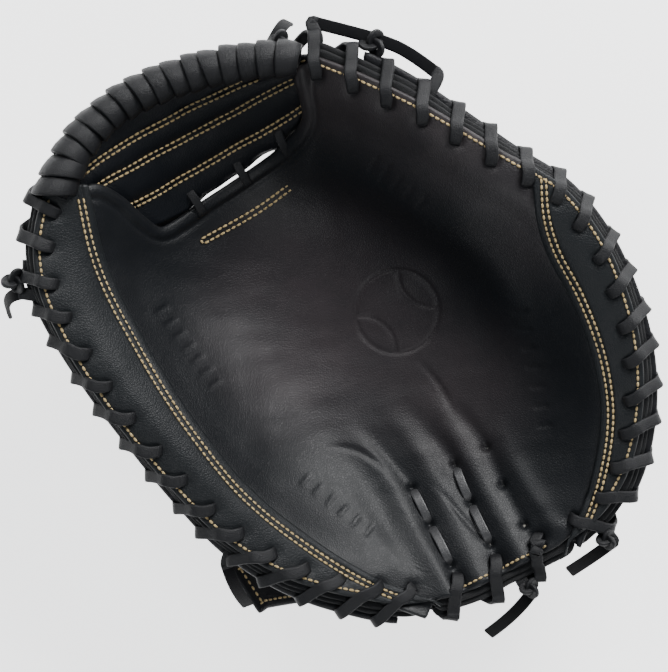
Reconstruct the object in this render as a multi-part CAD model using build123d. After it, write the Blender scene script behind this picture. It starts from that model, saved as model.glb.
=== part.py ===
from build123d import *
import os
from math import atan2, cos, hypot, pi, radians, sin, tan
import numpy as np

# A catcher's mitt for the left hand, lying on its back with the pocket up. Millimetres, +Z up.
# +Y runs from the heel to the web and +X is the finger side. The origin is on the surface that
# the mitt lies on, under the middle of its outline.
#
# The mitt is a bowl: bowl(x, y) is the height of its catching face. Leather, welts, felt and
# liners are layers that follow the bowl, each at its own depth below it and cut to its own plan
# outline. The back shells drop from the rim and run underneath the hand.
#
# It folds shut along a line from the thumb-side hinge of the heel to the middle of the web.

# ---------------------------------------------------------------- driving dimensions
LEATHER = 2.6  # shell leather
LINER = 1.6  # soft glove leather against the hand
WELT = 2.0  # strip sewn between the shells at the rim
GAP = 0.8  # clearance between layers
LINER_GAP = 2.0  # room between the felt and its liner
SEAM_GAP = 0.8  # half the slit between two panels
FLANGE = 12.4  # width of the flat laced rim
PAD_INSET = 22.2  # from the rim's edge to the felt
LACE_WIDTH = 5.6
LACE_THICK = 1.9
LACE_INSET = 9.0  # from the rim's edge to the lace holes
LACE_PITCH = 17.6
HOLE_EXTRA = 0.6
BAR_RADIUS = 6.4  # rolled leather core along the top of the web
WRAP_THICK = 2.1
WRAP_COUNT = 14
THUMB_FELT = 1.0  # share of PAD_PROFILE
FINGER_FELT = 0.9
CLOSE_ANGLE = 30.0  # how far the thumb side folds, degrees
AXIS_HEEL = (-14.0, -135.0, 22.0)  # the fold line's two ends
AXIS_WEB = (0.0, 82.0, 52.0)
FLOOR_Z = 39.0  # the pocket's lowest point
MIDDLE = (7.0, 2.0)  # the outline's middle, measured from the pocket's lowest point

# The rim's outer edge, measured from the pocket's lowest point: x, y and height.
RIM = [
    (5, -137, 66), (30, -139, 68), (54, -136, 72), (75, -125, 77), (95, -105, 83),
    (110, -80, 89), (119, -53, 94), (123, -25, 98), (120, 2, 102), (108, 28, 106),
    (96, 54, 109), (83, 79, 111), (68, 101, 112), (54, 117, 111), (28, 132, 108),
    (0, 142, 105), (-28, 145.5, 105), (-54, 140, 108), (-74, 128, 110), (-92, 112, 109),
    (-103, 92, 108), (-108, 66, 105), (-109, 38, 101), (-107.5, 10, 97), (-104, -20, 93),
    (-97, -52, 89), (-84, -80, 84), (-65, -104, 78), (-44, -123, 72), (-20, -133, 68),
]
# How far up the catching face is (0 floor, 1 rim), by how far out it is (0 middle, 1 rim).
SIDE_PROFILE = [
    (0, 0), (0.15, 0.02), (0.3, 0.1), (0.5, 0.33), (0.65, 0.62),
    (0.77, 0.89), (0.85, 1.01), (0.91, 1.03), (1, 1), (1.2, 0.93),
]
HEEL_PROFILE = [
    (0, 0), (0.2, 0.04), (0.43, 0.15), (0.65, 0.41), (0.83, 0.78), (0.92, 0.93), (1, 1), (1.2, 1.1),
]
WEB_PROFILE = [
    (0, 0), (0.2, 0.02), (0.4, 0.09), (0.6, 0.29), (0.75, 0.57), (0.87, 0.83), (1, 1), (1.2, 1.2),
]
# Thickness of the felt, by how far out it is.
PAD_PROFILE = [(0, 5), (0.3, 6.5), (0.5, 11), (0.62, 13.5), (0.7, 10.5), (0.78, 5), (0.86, 3), (1.2, 3)]

# Seams between the palm and its two crescent side panels, from heel to web.
THUMB_SEAM = [(-34, -126), (-52, -101), (-67, -70), (-78, -36), (-82, 0), (-82, 38), (-77, 83), (-64, 117)]
FINGER_SEAM = [(32, -137.5), (60, -117), (80, -94), (91, -70), (97, -42), (99, -18), (103, -2), (112, 16)]
SEAM_FORK = 8.0  # direction in which the finger seam meets the rim
TIP_FROM = 46.0  # direction in which the palm's finger tip starts, beside the web
# Where each stretch of the rim starts and ends, as directions from the middle, in degrees.
THUMB_RIM = (121.0, 255.0)
FINGER_RIM = (-76.0, 64.0)
HEEL_RIM = (256.5, 282.5)
BAR_ENDS = (117.5, 71.0)
# The back shells' free edges: direction, distance from the middle, height.
THUMB_EDGE = [
    (134, 74, 16), (150, 52, 8), (180, 38, 5), (205, 44, 7), (225, 60, 10), (240, 78, 12), (248, 90, 13),
]
FINGER_EDGE = [
    (-64, 92, 13), (-56, 78, 12), (-38, 48, 9), (-15, 31, 6),
    (5, 28, 5), (25, 33, 6), (42, 50, 9), (53, 74, 15),
]
STRAP_LIFT = 5.8  # the back shells' height over the wrist strap
# The wrist strap's outer face, seen from the heel: x and z.
STRAP = [
    (-100, 25), (-88, 15.5), (-72, 7.5), (-52, 2.6), (-25, 0.6), (10, 0.5), (40, 0.9), (62, 2.2), (82, 7.5),
]
STRAP_Y = -91.0
# Columns of lace holes that hinge the heel.
HINGE_THUMB = [(-12, -75), (-14, -93), (-16, -113)]
HINGE_FINGER = [(10, -77), (6.5, -95), (4, -115)]
SLOT_X = (-24.0, 1.0, 24.0)  # laces across the slot below the web
# Corners of the free lace ends, each starting at the rim.
TAILS = {
    "thumb_tail_lace": [(-109.5, 93, 99), (-118, 97, 97), (-122, 91, 64)],
    "thumb_lower_tail_lace": [(-100, -57, 80), (-104, -69, 76), (-104, -79, 54)],
    "web_tail_lace": [(43, 125, 101), (52, 130.5, 99), (55, 132, 71)],
    "heel_tail_lace": [(7, -144.5, 59), (-3, -149, 57), (-19, -152, 37)],
    "heel_corner_tail_lace": [(51, -144.5, 65), (41, -145.5, 63), (28, -148, 40)],
    "bridge_lace": [(62.5, 123, 105), (73, 112, 103), (83, 101, 102), (91.5, 89, 102), (96.5, 74, 103)],
}


# ---------------------------------------------------------------- curves and the bowl
def smooth(points, count=200):
    """Points close together on a smooth curve through a few points, with their share of its length."""
    pts = np.array(points, float)
    at = np.concatenate([[0], np.cumsum(np.linalg.norm(np.diff(pts, axis=0), axis=1))])
    slope = np.diff(pts, axis=0) / np.diff(at)[:, None]
    tangent = np.vstack([slope[:1], (slope[:-1] + slope[1:]) / 2, slope[-1:]])
    out = []
    for s in np.linspace(0, at[-1], count):
        i = min(int(np.searchsorted(at, s, side="right")) - 1, len(at) - 2)
        h = at[i + 1] - at[i]
        t = (s - at[i]) / h
        ends = (2 * t**3 - 3 * t**2 + 1) * pts[i] + (3 * t**2 - 2 * t**3) * pts[i + 1]
        out.append(ends + h * ((t**3 - 2 * t**2 + t) * tangent[i] + (t**3 - t**2) * tangent[i + 1]))
    return np.array(out)


def rim_table():
    """The rim as columns of direction, distance and height, in order of direction."""
    ring = smooth(RIM[-2:] + RIM + RIM[:2], 900)
    angle = np.arctan2(ring[:, 1], ring[:, 0])
    order = np.argsort(angle)
    return np.column_stack([angle, np.hypot(ring[:, 0], ring[:, 1]), ring[:, 2]])[order]


RIM_TABLE = rim_table()
SIDE_TABLE = smooth(SIDE_PROFILE)
HEEL_TABLE = smooth(HEEL_PROFILE)
WEB_TABLE = smooth(WEB_PROFILE)
PAD_TABLE = smooth(PAD_PROFILE)


def rim_radius(phi):
    """The rim's distance from the middle, in the direction phi."""
    return float(np.interp(phi, RIM_TABLE[:, 0], RIM_TABLE[:, 1], period=2 * pi))


def rim_height(phi):
    """The rim's height, in the direction phi."""
    return float(np.interp(phi, RIM_TABLE[:, 0], RIM_TABLE[:, 2], period=2 * pi))


def share_out(x, y):
    """How far out a plan point is: 0 in the middle, 1 on the rim."""
    return hypot(x, y) / rim_radius(atan2(y, x))


def bowl(x, y):
    """Height of the catching face over a plan point."""
    phi = atan2(y, x)
    out = share_out(x, y)
    end = WEB_TABLE if y > 0 else HEEL_TABLE
    side = cos(phi) ** 2
    up = side * np.interp(out, *SIDE_TABLE.T) + (1 - side) * np.interp(out, *end.T)
    return FLOOR_Z + (rim_height(phi) - FLOOR_Z) * float(up)


def bowl_normal(x, y):
    """Unit normal of the catching face, pointing into the pocket."""
    d = 3.0
    n = np.array([bowl(x - d, y) - bowl(x + d, y), bowl(x, y - d) - bowl(x, y + d), 2 * d])
    return n / np.linalg.norm(n)


def under(x, y, depth):
    """The point at a depth under the catching face."""
    return np.array([x, y, bowl(x, y)]) - depth * bowl_normal(x, y)


def rim_point(degrees, inset=0.0):
    """A plan point inset squarely from the rim's edge, and the outward normal there."""
    a, b, c = [
        np.array([rim_radius(radians(t)) * cos(radians(t)), rim_radius(radians(t)) * sin(radians(t))])
        for t in (degrees - 1, degrees, degrees + 1)
    ]
    run = c - a
    out = np.array([run[1], -run[0]]) / np.linalg.norm(run)
    return b - inset * out, out


def fold_share(y):
    """How far along the fold line a point is, from 0 at the heel to 1 at the web."""
    return (y - AXIS_HEEL[1]) / (AXIS_WEB[1] - AXIS_HEEL[1])


def fold_gap(y, side):
    """A plan point beside the fold line that the other side doesn't reach when the mitt closes."""
    x = AXIS_HEEL[0] + fold_share(y) * (AXIS_WEB[0] - AXIS_HEEL[0])
    z = AXIS_HEEL[2] + fold_share(y) * (AXIS_WEB[2] - AXIS_HEEL[2])
    reach = max(0.0, bowl(x, y) - z) * tan(radians(CLOSE_ANGLE / 2))
    return (x + side * (1.5 + 1.1 * reach), y)


# ---------------------------------------------------------------- plan outlines
def rim_line(start, end, inset, count=24):
    """Plan points along a line inset from the rim, from one direction to another in degrees."""
    return [tuple(rim_point(a, inset)[0]) for a in np.linspace(start, end, count)]


def shifted(points, step):
    """The same plan points moved sideways."""
    return [(x + step, y) for x, y in points]


def four_sided(heel, web, inner, outer):
    """A map from the unit square onto the plan between four border lines.

    heel and web run from inner to outer. inner and outer run from heel to web.
    """
    lines = [smooth(points, 401) for points in (heel, web, inner, outer)]

    def at(a, b):
        h, w = lines[0][round(a * 400)], lines[1][round(a * 400)]
        i, o = lines[2][round(b * 400)], lines[3][round(b * 400)]
        low = (1 - a) * lines[0][0] + a * lines[0][-1]
        high = (1 - a) * lines[1][0] + a * lines[1][-1]
        return (1 - b) * (h - low) + b * (w - high) + (1 - a) * i + a * o

    return at


# ---------------------------------------------------------------- solids
def closed_slab(top, bottom):
    """The solid between two grids of points, with a ruled face along each edge."""
    grids = [[[Vector(*p) for p in row] for row in grid] for grid in (top, bottom)]
    upper, lower = [Face.make_surface_from_array_of_points(g, tol=0.3, min_deg=3, max_deg=3) for g in grids]
    faces = [upper, lower]
    for edge in upper.edges():
        mate = min(lower.edges(), key=lambda e: (e.position_at(0.5) - edge.position_at(0.5)).length)
        faces.append(Face.make_surface_from_curves(edge, mate))
    solid = Solid(Shell(faces))
    return solid if solid.volume > 0 else Solid(Shell([-f for f in faces]))


def layer(plan, top, bottom, across, along):
    """A layer of the bowl over a plan map. top and bottom are depths, or functions of x and y."""
    grids = []
    for depth in (top, bottom):
        rows = []
        for b in np.linspace(0, 1, along):
            spots = [plan(a, b) for a in np.linspace(0, 1, across)]
            rows.append([under(x, y, depth(x, y) if callable(depth) else depth) for x, y in spots])
        grids.append(rows)
    return closed_slab(*grids)


def bent_sheet(section, thickness, across, count_across=19, count_along=19):
    """A sheet whose cross-section at each share of its run is the curve section(share)."""
    runs = [smooth(section(share), 161) for share in np.linspace(0, 1, 41)]
    grid = np.array(runs)
    du = np.gradient(grid, axis=1)
    dv = np.gradient(grid, axis=0)
    normal = np.cross(du, dv)
    normal /= np.linalg.norm(normal, axis=2)[:, :, None]
    if normal[20, 4, 2] < 0:
        normal = -normal
    rows = np.linspace(0, 40, count_along).round().astype(int)
    columns = (across * 160).round().astype(int)
    outer = grid[np.ix_(rows, columns)]
    inner = (grid + thickness * normal)[np.ix_(rows, columns)]
    return closed_slab(outer, inner)


def square_frame(centre, along, normal):
    """A plane at a point with x lengthways and y along the surface's normal."""
    along = along - normal * float(along @ normal)
    along = along / np.linalg.norm(along)
    return Plane(origin=Vector(*centre), x_dir=Vector(*along), z_dir=Vector(*np.cross(along, normal)))


def lace_turn(plane, length, height):
    """One turn of flat lace round a stack of leather, length and height measured outside."""
    ring = Rectangle(length, height) - Rectangle(length - 2 * LACE_THICK, height - 2 * LACE_THICK)
    return extrude(plane * ring, LACE_WIDTH / 2, both=True)


def lace_hole(plane, x):
    """The slit that one leg of a turn of lace goes through."""
    slit = Pos(x, 0) * Rectangle(LACE_THICK + HOLE_EXTRA, 34)
    return extrude(plane * slit, (LACE_WIDTH + HOLE_EXTRA) / 2, both=True)


def spaced(span, pitch):
    """Directions spaced evenly by length along a stretch of the rim."""
    fine = np.linspace(span[0], span[1], 300)
    pts = np.array([rim_point(a, LACE_INSET)[0] for a in fine])
    run = np.concatenate([[0], np.cumsum(np.linalg.norm(np.diff(pts, axis=0), axis=1))])
    count = int(round(run[-1] / pitch)) + 1
    return np.interp(np.linspace(0, run[-1], count), run, fine)


def rim_turns(directions, stack):
    """Turns of lace round the rim, and the slits that they need."""
    turns = []
    holes = []
    outer = -LACE_THICK - 0.5
    inner = LACE_INSET + LACE_THICK
    for degrees in directions:
        point, out = rim_point(degrees, (outer + inner) / 2)
        normal = bowl_normal(*point)
        plane = square_frame(under(*point, stack / 2), np.array([*out, 0.0]), normal)
        turns.append(lace_turn(plane, inner - outer, stack + 2 * LACE_THICK + 1.6))
        holes.append(lace_hole(plane, (outer - inner + LACE_THICK) / 2))
    return turns, holes


def save(name, shape):
    """Writes one node with the outline's middle at the origin."""
    shapes = shape if isinstance(shape, list) else [shape]
    solids = [solid for each in shapes for solid in each.solids()]
    moved = [s.moved(Location((-MIDDLE[0], -MIDDLE[1], 0))) for s in solids]
    export_step(moved[0] if len(moved) == 1 else Compound(children=moved), f"parts/{name}.step")


# ---------------------------------------------------------------- rim, palm and side panels
STACK = 2 * LEATHER + WELT + 3 * GAP
HEEL_STACK = LEATHER + GAP + WELT


def pierce(solid, holes):
    """The solid with those of the lace holes cut that reach it."""
    box = solid.bounding_box()
    near = [h for h in holes if box.min.X < h.center().X < box.max.X and box.min.Y < h.center().Y < box.max.Y]
    return solid - near if near else solid


def palm_and_panels(holes):
    """The palm leather and its two crescent side panels."""
    seam = shifted(THUMB_SEAM[:-1], SEAM_GAP)
    edge = shifted(FINGER_SEAM, -SEAM_GAP) + rim_line(SEAM_FORK + 4, TIP_FROM, 0.3, 8)
    heel = [seam[0]] + rim_line(HEEL_RIM[0] + 3, HEEL_RIM[1] - 2, 0.3, 5) + [edge[0]]
    hem = [seam[-1], (-48, 83), (0, 82), (40, 83), edge[-1]]
    main = layer(four_sided(heel, hem, seam, edge), 0, LEATHER, 21, 25)
    start, end = seam[-1][1] + 0.2, THUMB_SEAM[-1]
    seam = [(seam[-1][0], start), (-71 + SEAM_GAP, 103), (end[0] + SEAM_GAP, end[1])]
    inner = [(-48, 83.2), (-48, 100), (-49, 115)]
    thumb_tip = layer(four_sided([seam[0], inner[0]], [seam[-1], inner[-1]], seam, inner), 0, LEATHER, 5, 6)
    edge = rim_line(TIP_FROM + 0.2, FINGER_RIM[1], 0.3, 5)
    inner = [(40, 83.2), (41, 96), (47, 108)]
    finger_tip = layer(four_sided([inner[0], edge[0]], [inner[-1], edge[-1]], inner, edge), 0, LEATHER, 6, 6)
    save("palm_leather", [pierce(part, holes) for part in (main, thumb_tip, finger_tip)])
    for name, seam, span in (
        ("thumb_side_panel", shifted(THUMB_SEAM, -SEAM_GAP), THUMB_RIM[::-1]),
        ("finger_side_panel", shifted(FINGER_SEAM, SEAM_GAP), (FINGER_RIM[0], SEAM_FORK)),
    ):
        edge = rim_line(*span, 0.3)
        plan = four_sided([seam[0], edge[0]], [seam[-1], edge[-1]], seam, edge)
        save(name, pierce(layer(plan, 0, LEATHER, 7, 23), holes))


def welts(holes):
    """The strips sewn between the shells at the rim."""
    spans = {"thumb_rim_welt": THUMB_RIM, "finger_rim_welt": FINGER_RIM, "heel_welt": HEEL_RIM}
    for name, span in spans.items():
        outer = rim_line(*span, 0.5)
        inner = rim_line(*span, FLANGE)
        plan = four_sided([inner[0], outer[0]], [inner[-1], outer[-1]], inner, outer)
        save(name, pierce(layer(plan, LEATHER + GAP, LEATHER + GAP + WELT, 4, 25), holes))


# ---------------------------------------------------------------- felt and liners
def felt_bottom(share):
    """Depth of the felt's hand side as a function of the plan, for a share of the full thickness."""
    return lambda x, y: LEATHER + GAP + share * float(np.interp(share_out(x, y), *PAD_TABLE.T))


def pads():
    """A felt pad and a soft liner on each side of the fold."""
    for name, side, share, start, span, notch in (
        ("thumb", -1, THUMB_FELT, 258, (243, 126), [(-24, 77), (-42, 78), (-55, 85), (-62, 93)]),
        ("finger", 1, FINGER_FELT, -91, (-65, 55), [(20, 77), (36, 78), (47, 85), (53, 93)]),
    ):
        bottom = felt_bottom(share)

        def side_layer(inset, end, edge, top, low):
            heel = rim_line(start, span[0], inset, 6)
            inner = [heel[0]] + [fold_gap(y, side) for y in np.linspace(heel[0][1] + 14, 77, 7)]
            outer = rim_line(span[0], end, inset, 12)
            web_edge = [inner[-1]] + edge + [outer[-1]]
            return layer(four_sided(heel, web_edge, inner, outer), top, low, 12, 17)

        save(f"{name}_pad", side_layer(PAD_INSET, span[1], notch, LEATHER + GAP, bottom))
        lining = side_layer(
            PAD_INSET + 13,
            span[1] - 9 * side,
            notch[:2],
            lambda x, y: bottom(x, y) + LINER_GAP,
            lambda x, y: bottom(x, y) + LINER_GAP + LINER,
        )
        save(f"{name}_palm_liner", lining)


# ---------------------------------------------------------------- back shells
def back_shell(edge, lift, holes):
    """A back shell: laced flat under the rim, then down the outside and under the hand."""
    edge = smooth(edge, 60)

    def section(share):
        degrees = edge[0, 0] + share * (edge[-1, 0] - edge[0, 0])
        phi = radians(degrees)
        reach = rim_radius(phi)
        tip, tip_z = [float(np.interp(degrees, edge[:, 0], edge[:, k])) for k in (1, 2)]
        span = reach - tip
        ray = np.array([cos(phi), sin(phi), 0.0])
        slant = 1 / float(rim_point(degrees)[1] @ ray[:2])  # the ray crosses the rim at an angle
        wall = 15.4 * slant
        top, hold = [under(*((reach - s * slant) * ray[:2]), STACK) for s in (0.4, 10.8)]
        z = hold[2]
        floor = lift(degrees) + 1.0
        rest = span - wall

        def at(inward, height):
            return (reach - inward) * ray + np.array([0, 0, height])

        return [
            top,
            hold,
            at(13.2 * slant, z - 1.3),
            at(14.6 * slant, z - 5),
            at(wall, z - 13),
            at(wall + 0.03 * rest, 0.60 * z),
            at(wall + 0.11 * rest, 0.33 * z + 0.4 * floor),
            at(wall + 0.27 * rest, 0.12 * z + 0.8 * floor),
            at(wall + 0.50 * rest, 0.01 * z + floor),
            at(wall + 0.80 * rest, floor + 0.3),
            tip * ray + np.array([0, 0, tip_z]),
        ]

    across = np.concatenate([[0, 0.03, 0.055, 0.075, 0.095, 0.12, 0.16], np.linspace(0.22, 1, 14)])
    return pierce(bent_sheet(section, LEATHER, across), holes)


def lift_from(full, none):
    """A height that falls smoothly from STRAP_LIFT in one direction to 0 in another."""

    def lift(degrees):
        t = min(max((degrees - none) / (full - none), 0.0), 1.0)
        return STRAP_LIFT * t * t * (3 - 2 * t)

    return lift


# ---------------------------------------------------------------- web
def web():
    """The web's front and back leathers, its rolled bar and their laces."""
    low = [(-58, 89), (-30, 88), (0, 88), (26, 88), (48, 88)]
    high = rim_line(BAR_ENDS[0] - 1, BAR_ENDS[1] - 1, BAR_RADIUS + WRAP_THICK + 9.8, 9)
    frame = four_sided(low, high, [low[0], high[0]], [low[-1], high[-1]])
    turns = []
    holes = []
    for x in SLOT_X:
        plane = square_frame(under(x, 89.2, 4.6), np.array([0.0, 1.0, 0.0]), bowl_normal(x, 89.2))
        turns.append(lace_turn(plane, 9.6, 14.4))
        holes.append(lace_hole(plane, 4.8 - LACE_THICK / 2))

    def hang(x, y):
        """Depth of the web under the bowl: its ends tuck behind the palm's tips."""
        return 1.0 + 8.5 * ((x + 4) / 54) ** 2

    for name, top, bottom in (("web_panel", 0.0, 3.0), ("web_back_panel", 3.5, 5.5)):
        sheet = layer(frame, lambda x, y: hang(x, y) + top, lambda x, y: hang(x, y) + bottom, 15, 7)
        save(name, pierce(sheet, holes))
    save("web_slot_lace", turns)
    bar()
    return holes


def bar():
    """The rolled leather bar along the top of the web and the lace wound round it."""
    points = []
    for degrees in np.linspace(*BAR_ENDS, 14):
        point = rim_point(degrees, BAR_RADIUS + WRAP_THICK)[0]
        points.append((*point, rim_height(radians(degrees)) - 4))
    path = Spline(*[Vector(*p) for p in points])
    end = Plane(origin=path @ 0.015, z_dir=path % 0.015)
    save("web_bar_core", sweep(end * Circle(BAR_RADIUS), path=path))
    ring = Circle(BAR_RADIUS + WRAP_THICK) - Circle(BAR_RADIUS + 0.4)
    wraps = []
    for i in range(WRAP_COUNT):
        middle = (i + 0.5) / WRAP_COUNT
        place = Plane(origin=path @ middle, z_dir=path % middle)
        wraps.append(extrude(place * ring, 0.455 * path.length / WRAP_COUNT, both=True))
    save("web_bar_wrap", wraps)


# ---------------------------------------------------------------- wrist strap and inside loops
def strap_sheet(low, high, first, last, sides):
    """A sheet along the strap's line between two heights over it. sides(x) gives its two edges."""
    run = smooth(STRAP, 200)
    slope = np.gradient(run, axis=0)
    up = np.column_stack([-slope[:, 1], slope[:, 0]]) / np.linalg.norm(slope, axis=1)[:, None]
    stations = np.linspace(first * 199, last * 199, 17).round().astype(int)
    grids = []
    for lift in (high, low):
        edge = run + lift * up
        rows = []
        for i in stations:
            rows.append([(edge[i, 0], y, edge[i, 1]) for y in np.linspace(*sides(run[i, 0]), 5)])
        grids.append(rows)
    return closed_slab(*grids)


def strap_sides(x):
    """The strap's two edges: it narrows to a slanted end beyond the thumb."""
    end = min(max((-50 - x) / 50, 0.0), 1.0)
    return STRAP_Y - 20 + 30 * end, STRAP_Y + 20 + 9 * end


def wrist():
    """The strap across the back of the wrist and its fleece."""
    save("wrist_strap", strap_sheet(0, 2.6, 0, 1, strap_sides))
    save("wrist_strap_fleece", strap_sheet(3.1, 9.5, 0.42, 0.70, lambda x: (STRAP_Y - 18, STRAP_Y + 18)))


def finger_loop(x, y, z, width, height, depth):
    """A leather loop inside the mitt that a finger goes through."""
    hole = SlotOverall(width - 2 * LINER, height - 2 * LINER)
    ring = SlotOverall(width, height) - hole
    return extrude(Plane(origin=(x, y, z), x_dir=(1, 0, 0), z_dir=(0, -1, 0)) * ring, depth / 2, both=True)


def index_guard():
    """A domed leather tongue inside the finger shell's free edge, over the index finger."""
    grids = []
    for lift in (LEATHER, 0.0):
        rows = []
        for y in np.linspace(-14, 34, 11):
            row = []
            for x in np.linspace(-18, 26, 11):
                dome = 9.0 * cos(pi * (x - 4) / 40) ** 2 if abs(x - 4) < 20 else 0.0
                row.append((x, y, 8.8 + dome * cos(pi * (y - 10) / 70) + lift))
            rows.append(row)
        grids.append(rows)
    return closed_slab(*grids)


# ---------------------------------------------------------------- laces
def hinge_lace(holes):
    """The runs of lace that show between the holes of one heel hinge."""
    runs = []
    for start, end in zip(holes, holes[1:]):
        p = under(*start, -LACE_THICK / 2 - 0.4)
        q = under(*end, -LACE_THICK / 2 - 0.4)
        plane = square_frame((p + q) / 2, q - p, bowl_normal(*((np.array(start) + np.array(end)) / 2)))
        length = float(np.linalg.norm(q - p)) - 4
        runs.append(extrude(plane * Rectangle(length, LACE_THICK), LACE_WIDTH / 2, both=True))
    return runs


def free_lace(name, points):
    """A free lace as a round bar through corner points, each corner an arc as large as fits."""
    corners = [Vector(*p) for p in points]
    radii = []
    for a, b, c in zip(corners, corners[1:], corners[2:]):
        turn = radians((b - a).get_angle(c - b))
        radii.append(0.45 * min((b - a).length, (c - b).length) / tan(turn / 2))
    path = FilletPolyline(*corners, radius=radii)
    start = Plane(origin=path @ 0, z_dir=path % 0)
    save(name, sweep(start * Circle(LACE_WIDTH / 2), path=path))


def main():
    os.makedirs("parts", exist_ok=True)
    thumb_turns, thumb_holes = rim_turns(spaced((124.5, 251), LACE_PITCH), STACK)
    finger_turns, finger_holes = rim_turns(spaced((-73, 61), LACE_PITCH), STACK)
    heel_turns, heel_holes = rim_turns(spaced((261, 279), LACE_PITCH), HEEL_STACK)
    save("thumb_perimeter_lace", thumb_turns)
    save("finger_perimeter_lace", finger_turns)
    save("heel_perimeter_lace", heel_turns)
    holes = thumb_holes + finger_holes + heel_holes
    slot_holes = web()
    palm_and_panels(holes + slot_holes)
    welts(holes)
    pads()
    save("thumb_back_shell", back_shell(THUMB_EDGE, lift_from(214, 196), thumb_holes))
    save("finger_back_shell", back_shell(FINGER_EDGE, lift_from(-34, -18), finger_holes))
    wrist()
    save("thumb_loop", finger_loop(-55, -8, 22, 34, 26, 22))
    save("little_finger_loop", finger_loop(64, -12, 22, 30, 26, 20))
    save("index_finger_guard", index_guard())
    save("heel_hinge_lace_thumb", hinge_lace(HINGE_THUMB))
    save("heel_hinge_lace_finger", hinge_lace(HINGE_FINGER))
    for name, corners in TAILS.items():
        free_lace(name, corners)


if __name__ == "__main__":
    main()
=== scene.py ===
from math import atan, pi, radians

import bpy
import numpy as np
from mathutils import Matrix, Vector


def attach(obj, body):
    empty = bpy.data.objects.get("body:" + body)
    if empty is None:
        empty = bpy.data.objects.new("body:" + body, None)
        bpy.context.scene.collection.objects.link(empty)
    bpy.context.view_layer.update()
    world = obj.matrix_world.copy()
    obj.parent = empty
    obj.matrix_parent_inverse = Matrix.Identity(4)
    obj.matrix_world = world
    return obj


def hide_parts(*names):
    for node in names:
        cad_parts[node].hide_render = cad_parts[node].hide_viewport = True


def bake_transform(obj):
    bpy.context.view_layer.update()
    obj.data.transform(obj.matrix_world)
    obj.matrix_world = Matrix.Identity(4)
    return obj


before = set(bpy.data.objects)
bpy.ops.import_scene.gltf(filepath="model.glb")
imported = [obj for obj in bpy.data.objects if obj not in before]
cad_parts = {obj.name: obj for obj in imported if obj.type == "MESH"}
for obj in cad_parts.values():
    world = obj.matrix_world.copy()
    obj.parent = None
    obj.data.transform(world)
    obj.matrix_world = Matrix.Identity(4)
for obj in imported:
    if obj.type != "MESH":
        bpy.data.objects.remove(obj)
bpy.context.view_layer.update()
rng = np.random.default_rng(7)

# Shapes are worked out in millimetres from the pocket's lowest point in plan, as the CAD's are,
# and moved so that the outline's middle is at the origin when a mesh is made.
MM = 0.001
MIDDLE = np.array([7.0, 2.0, 0.0])

# ---------------------------------------------------------------- driving dimensions
LEATHER = 2.6
WELT = 2.0
GAP = 0.8
LINER = 1.6
LINER_GAP = 2.0
STACK = 2 * LEATHER + WELT + 3 * GAP
HEEL_STACK = LEATHER + GAP + WELT
PAD_INSET = 22.2
LACE_WIDTH = 5.6
LACE_THICK = 1.9
LACE_PITCH = 17.6
STITCH_PITCH = 2.75
STITCH_LENGTH = 2.35
THREAD = 0.56
ROW_GAP = 1.05
BAR_RADIUS = 6.4
WRAP_THICK = 2.1
WRAPS = 16
# Steps in the rounding of a leather sheet's cut edge.
EDGE_STEPS = 4
FLOOR_Z = 39.0

# How far the stacked rim's cut edges fan out, in mm, by direction in degrees.
FAN = [
    (-80, 7.0), (-60, 5.5), (-30, 4.5), (5, 4.5), (25, 5.8), (45, 6.8), (64, 6.0), (121, 3.0),
    (150, 2.8), (180, 3.2), (205, 4.2), (230, 5.8), (255, 7.0), (270, 7.8), (285, 7.5),
]
# The rim's outer edge, measured from the pocket's lowest point: x, y and height.
RIM = [
    (5, -137, 66), (30, -139, 68), (54, -136, 72), (75, -125, 77), (95, -105, 83),
    (110, -80, 89), (119, -53, 94), (123, -25, 98), (120, 2, 102), (108, 28, 106),
    (96, 54, 109), (83, 79, 111), (68, 101, 112), (54, 117, 111), (28, 132, 108),
    (0, 142, 105), (-28, 145.5, 105), (-54, 140, 108), (-74, 128, 110), (-92, 112, 109),
    (-103, 92, 108), (-108, 66, 105), (-109, 38, 101), (-107.5, 10, 97), (-104, -20, 93),
    (-97, -52, 89), (-84, -80, 84), (-65, -104, 78), (-44, -123, 72), (-20, -133, 68),
]
SIDE_PROFILE = [
    (0, 0), (0.15, 0.02), (0.3, 0.1), (0.5, 0.33), (0.65, 0.62),
    (0.77, 0.89), (0.85, 1.01), (0.91, 1.03), (1, 1), (1.2, 0.93),
]
HEEL_PROFILE = [
    (0, 0), (0.2, 0.04), (0.43, 0.15), (0.65, 0.41), (0.83, 0.78), (0.92, 0.93), (1, 1), (1.2, 1.1),
]
WEB_PROFILE = [
    (0, 0), (0.2, 0.02), (0.4, 0.09), (0.6, 0.29), (0.75, 0.57), (0.87, 0.83), (1, 1), (1.2, 1.2),
]
PAD_PROFILE = [(0, 5), (0.3, 6.5), (0.5, 11), (0.62, 13.5), (0.7, 10.5), (0.78, 5), (0.86, 3), (1.2, 3)]
THUMB_SEAM = [(-34, -126), (-52, -101), (-67, -70), (-78, -36), (-82, 0), (-82, 38), (-77, 83), (-64, 117)]
FINGER_SEAM = [(32, -137.5), (60, -117), (80, -94), (91, -70), (97, -42), (99, -18), (103, -2), (112, 16)]
SEAM_FORK = 8.0
THUMB_RIM = (121.0, 255.0)
FINGER_RIM = (-76.0, 64.0)
HEEL_RIM = (255.5, 284.5)
# Each panel's edge laps over the palm by this much beyond its seam.
LAP = 3.6
# The palm's edge under the web, and the raised shelf inside the finger side's rim.
WEB_EDGE = [
    (-64, 117), (-56, 114.5), (-50, 105), (-47, 93), (-43.5, 85.2), (-36, 84.2), (-21, 85.0),
    (0, 85.2), (20, 85.9), (27, 87.4), (33, 88.4), (38, 91.5), (40.5, 98), (45, 108),
]
SHELF = [(32, 76), (45, 62), (60, 40), (73, 12), (76, -14), (72, -40)]
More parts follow.
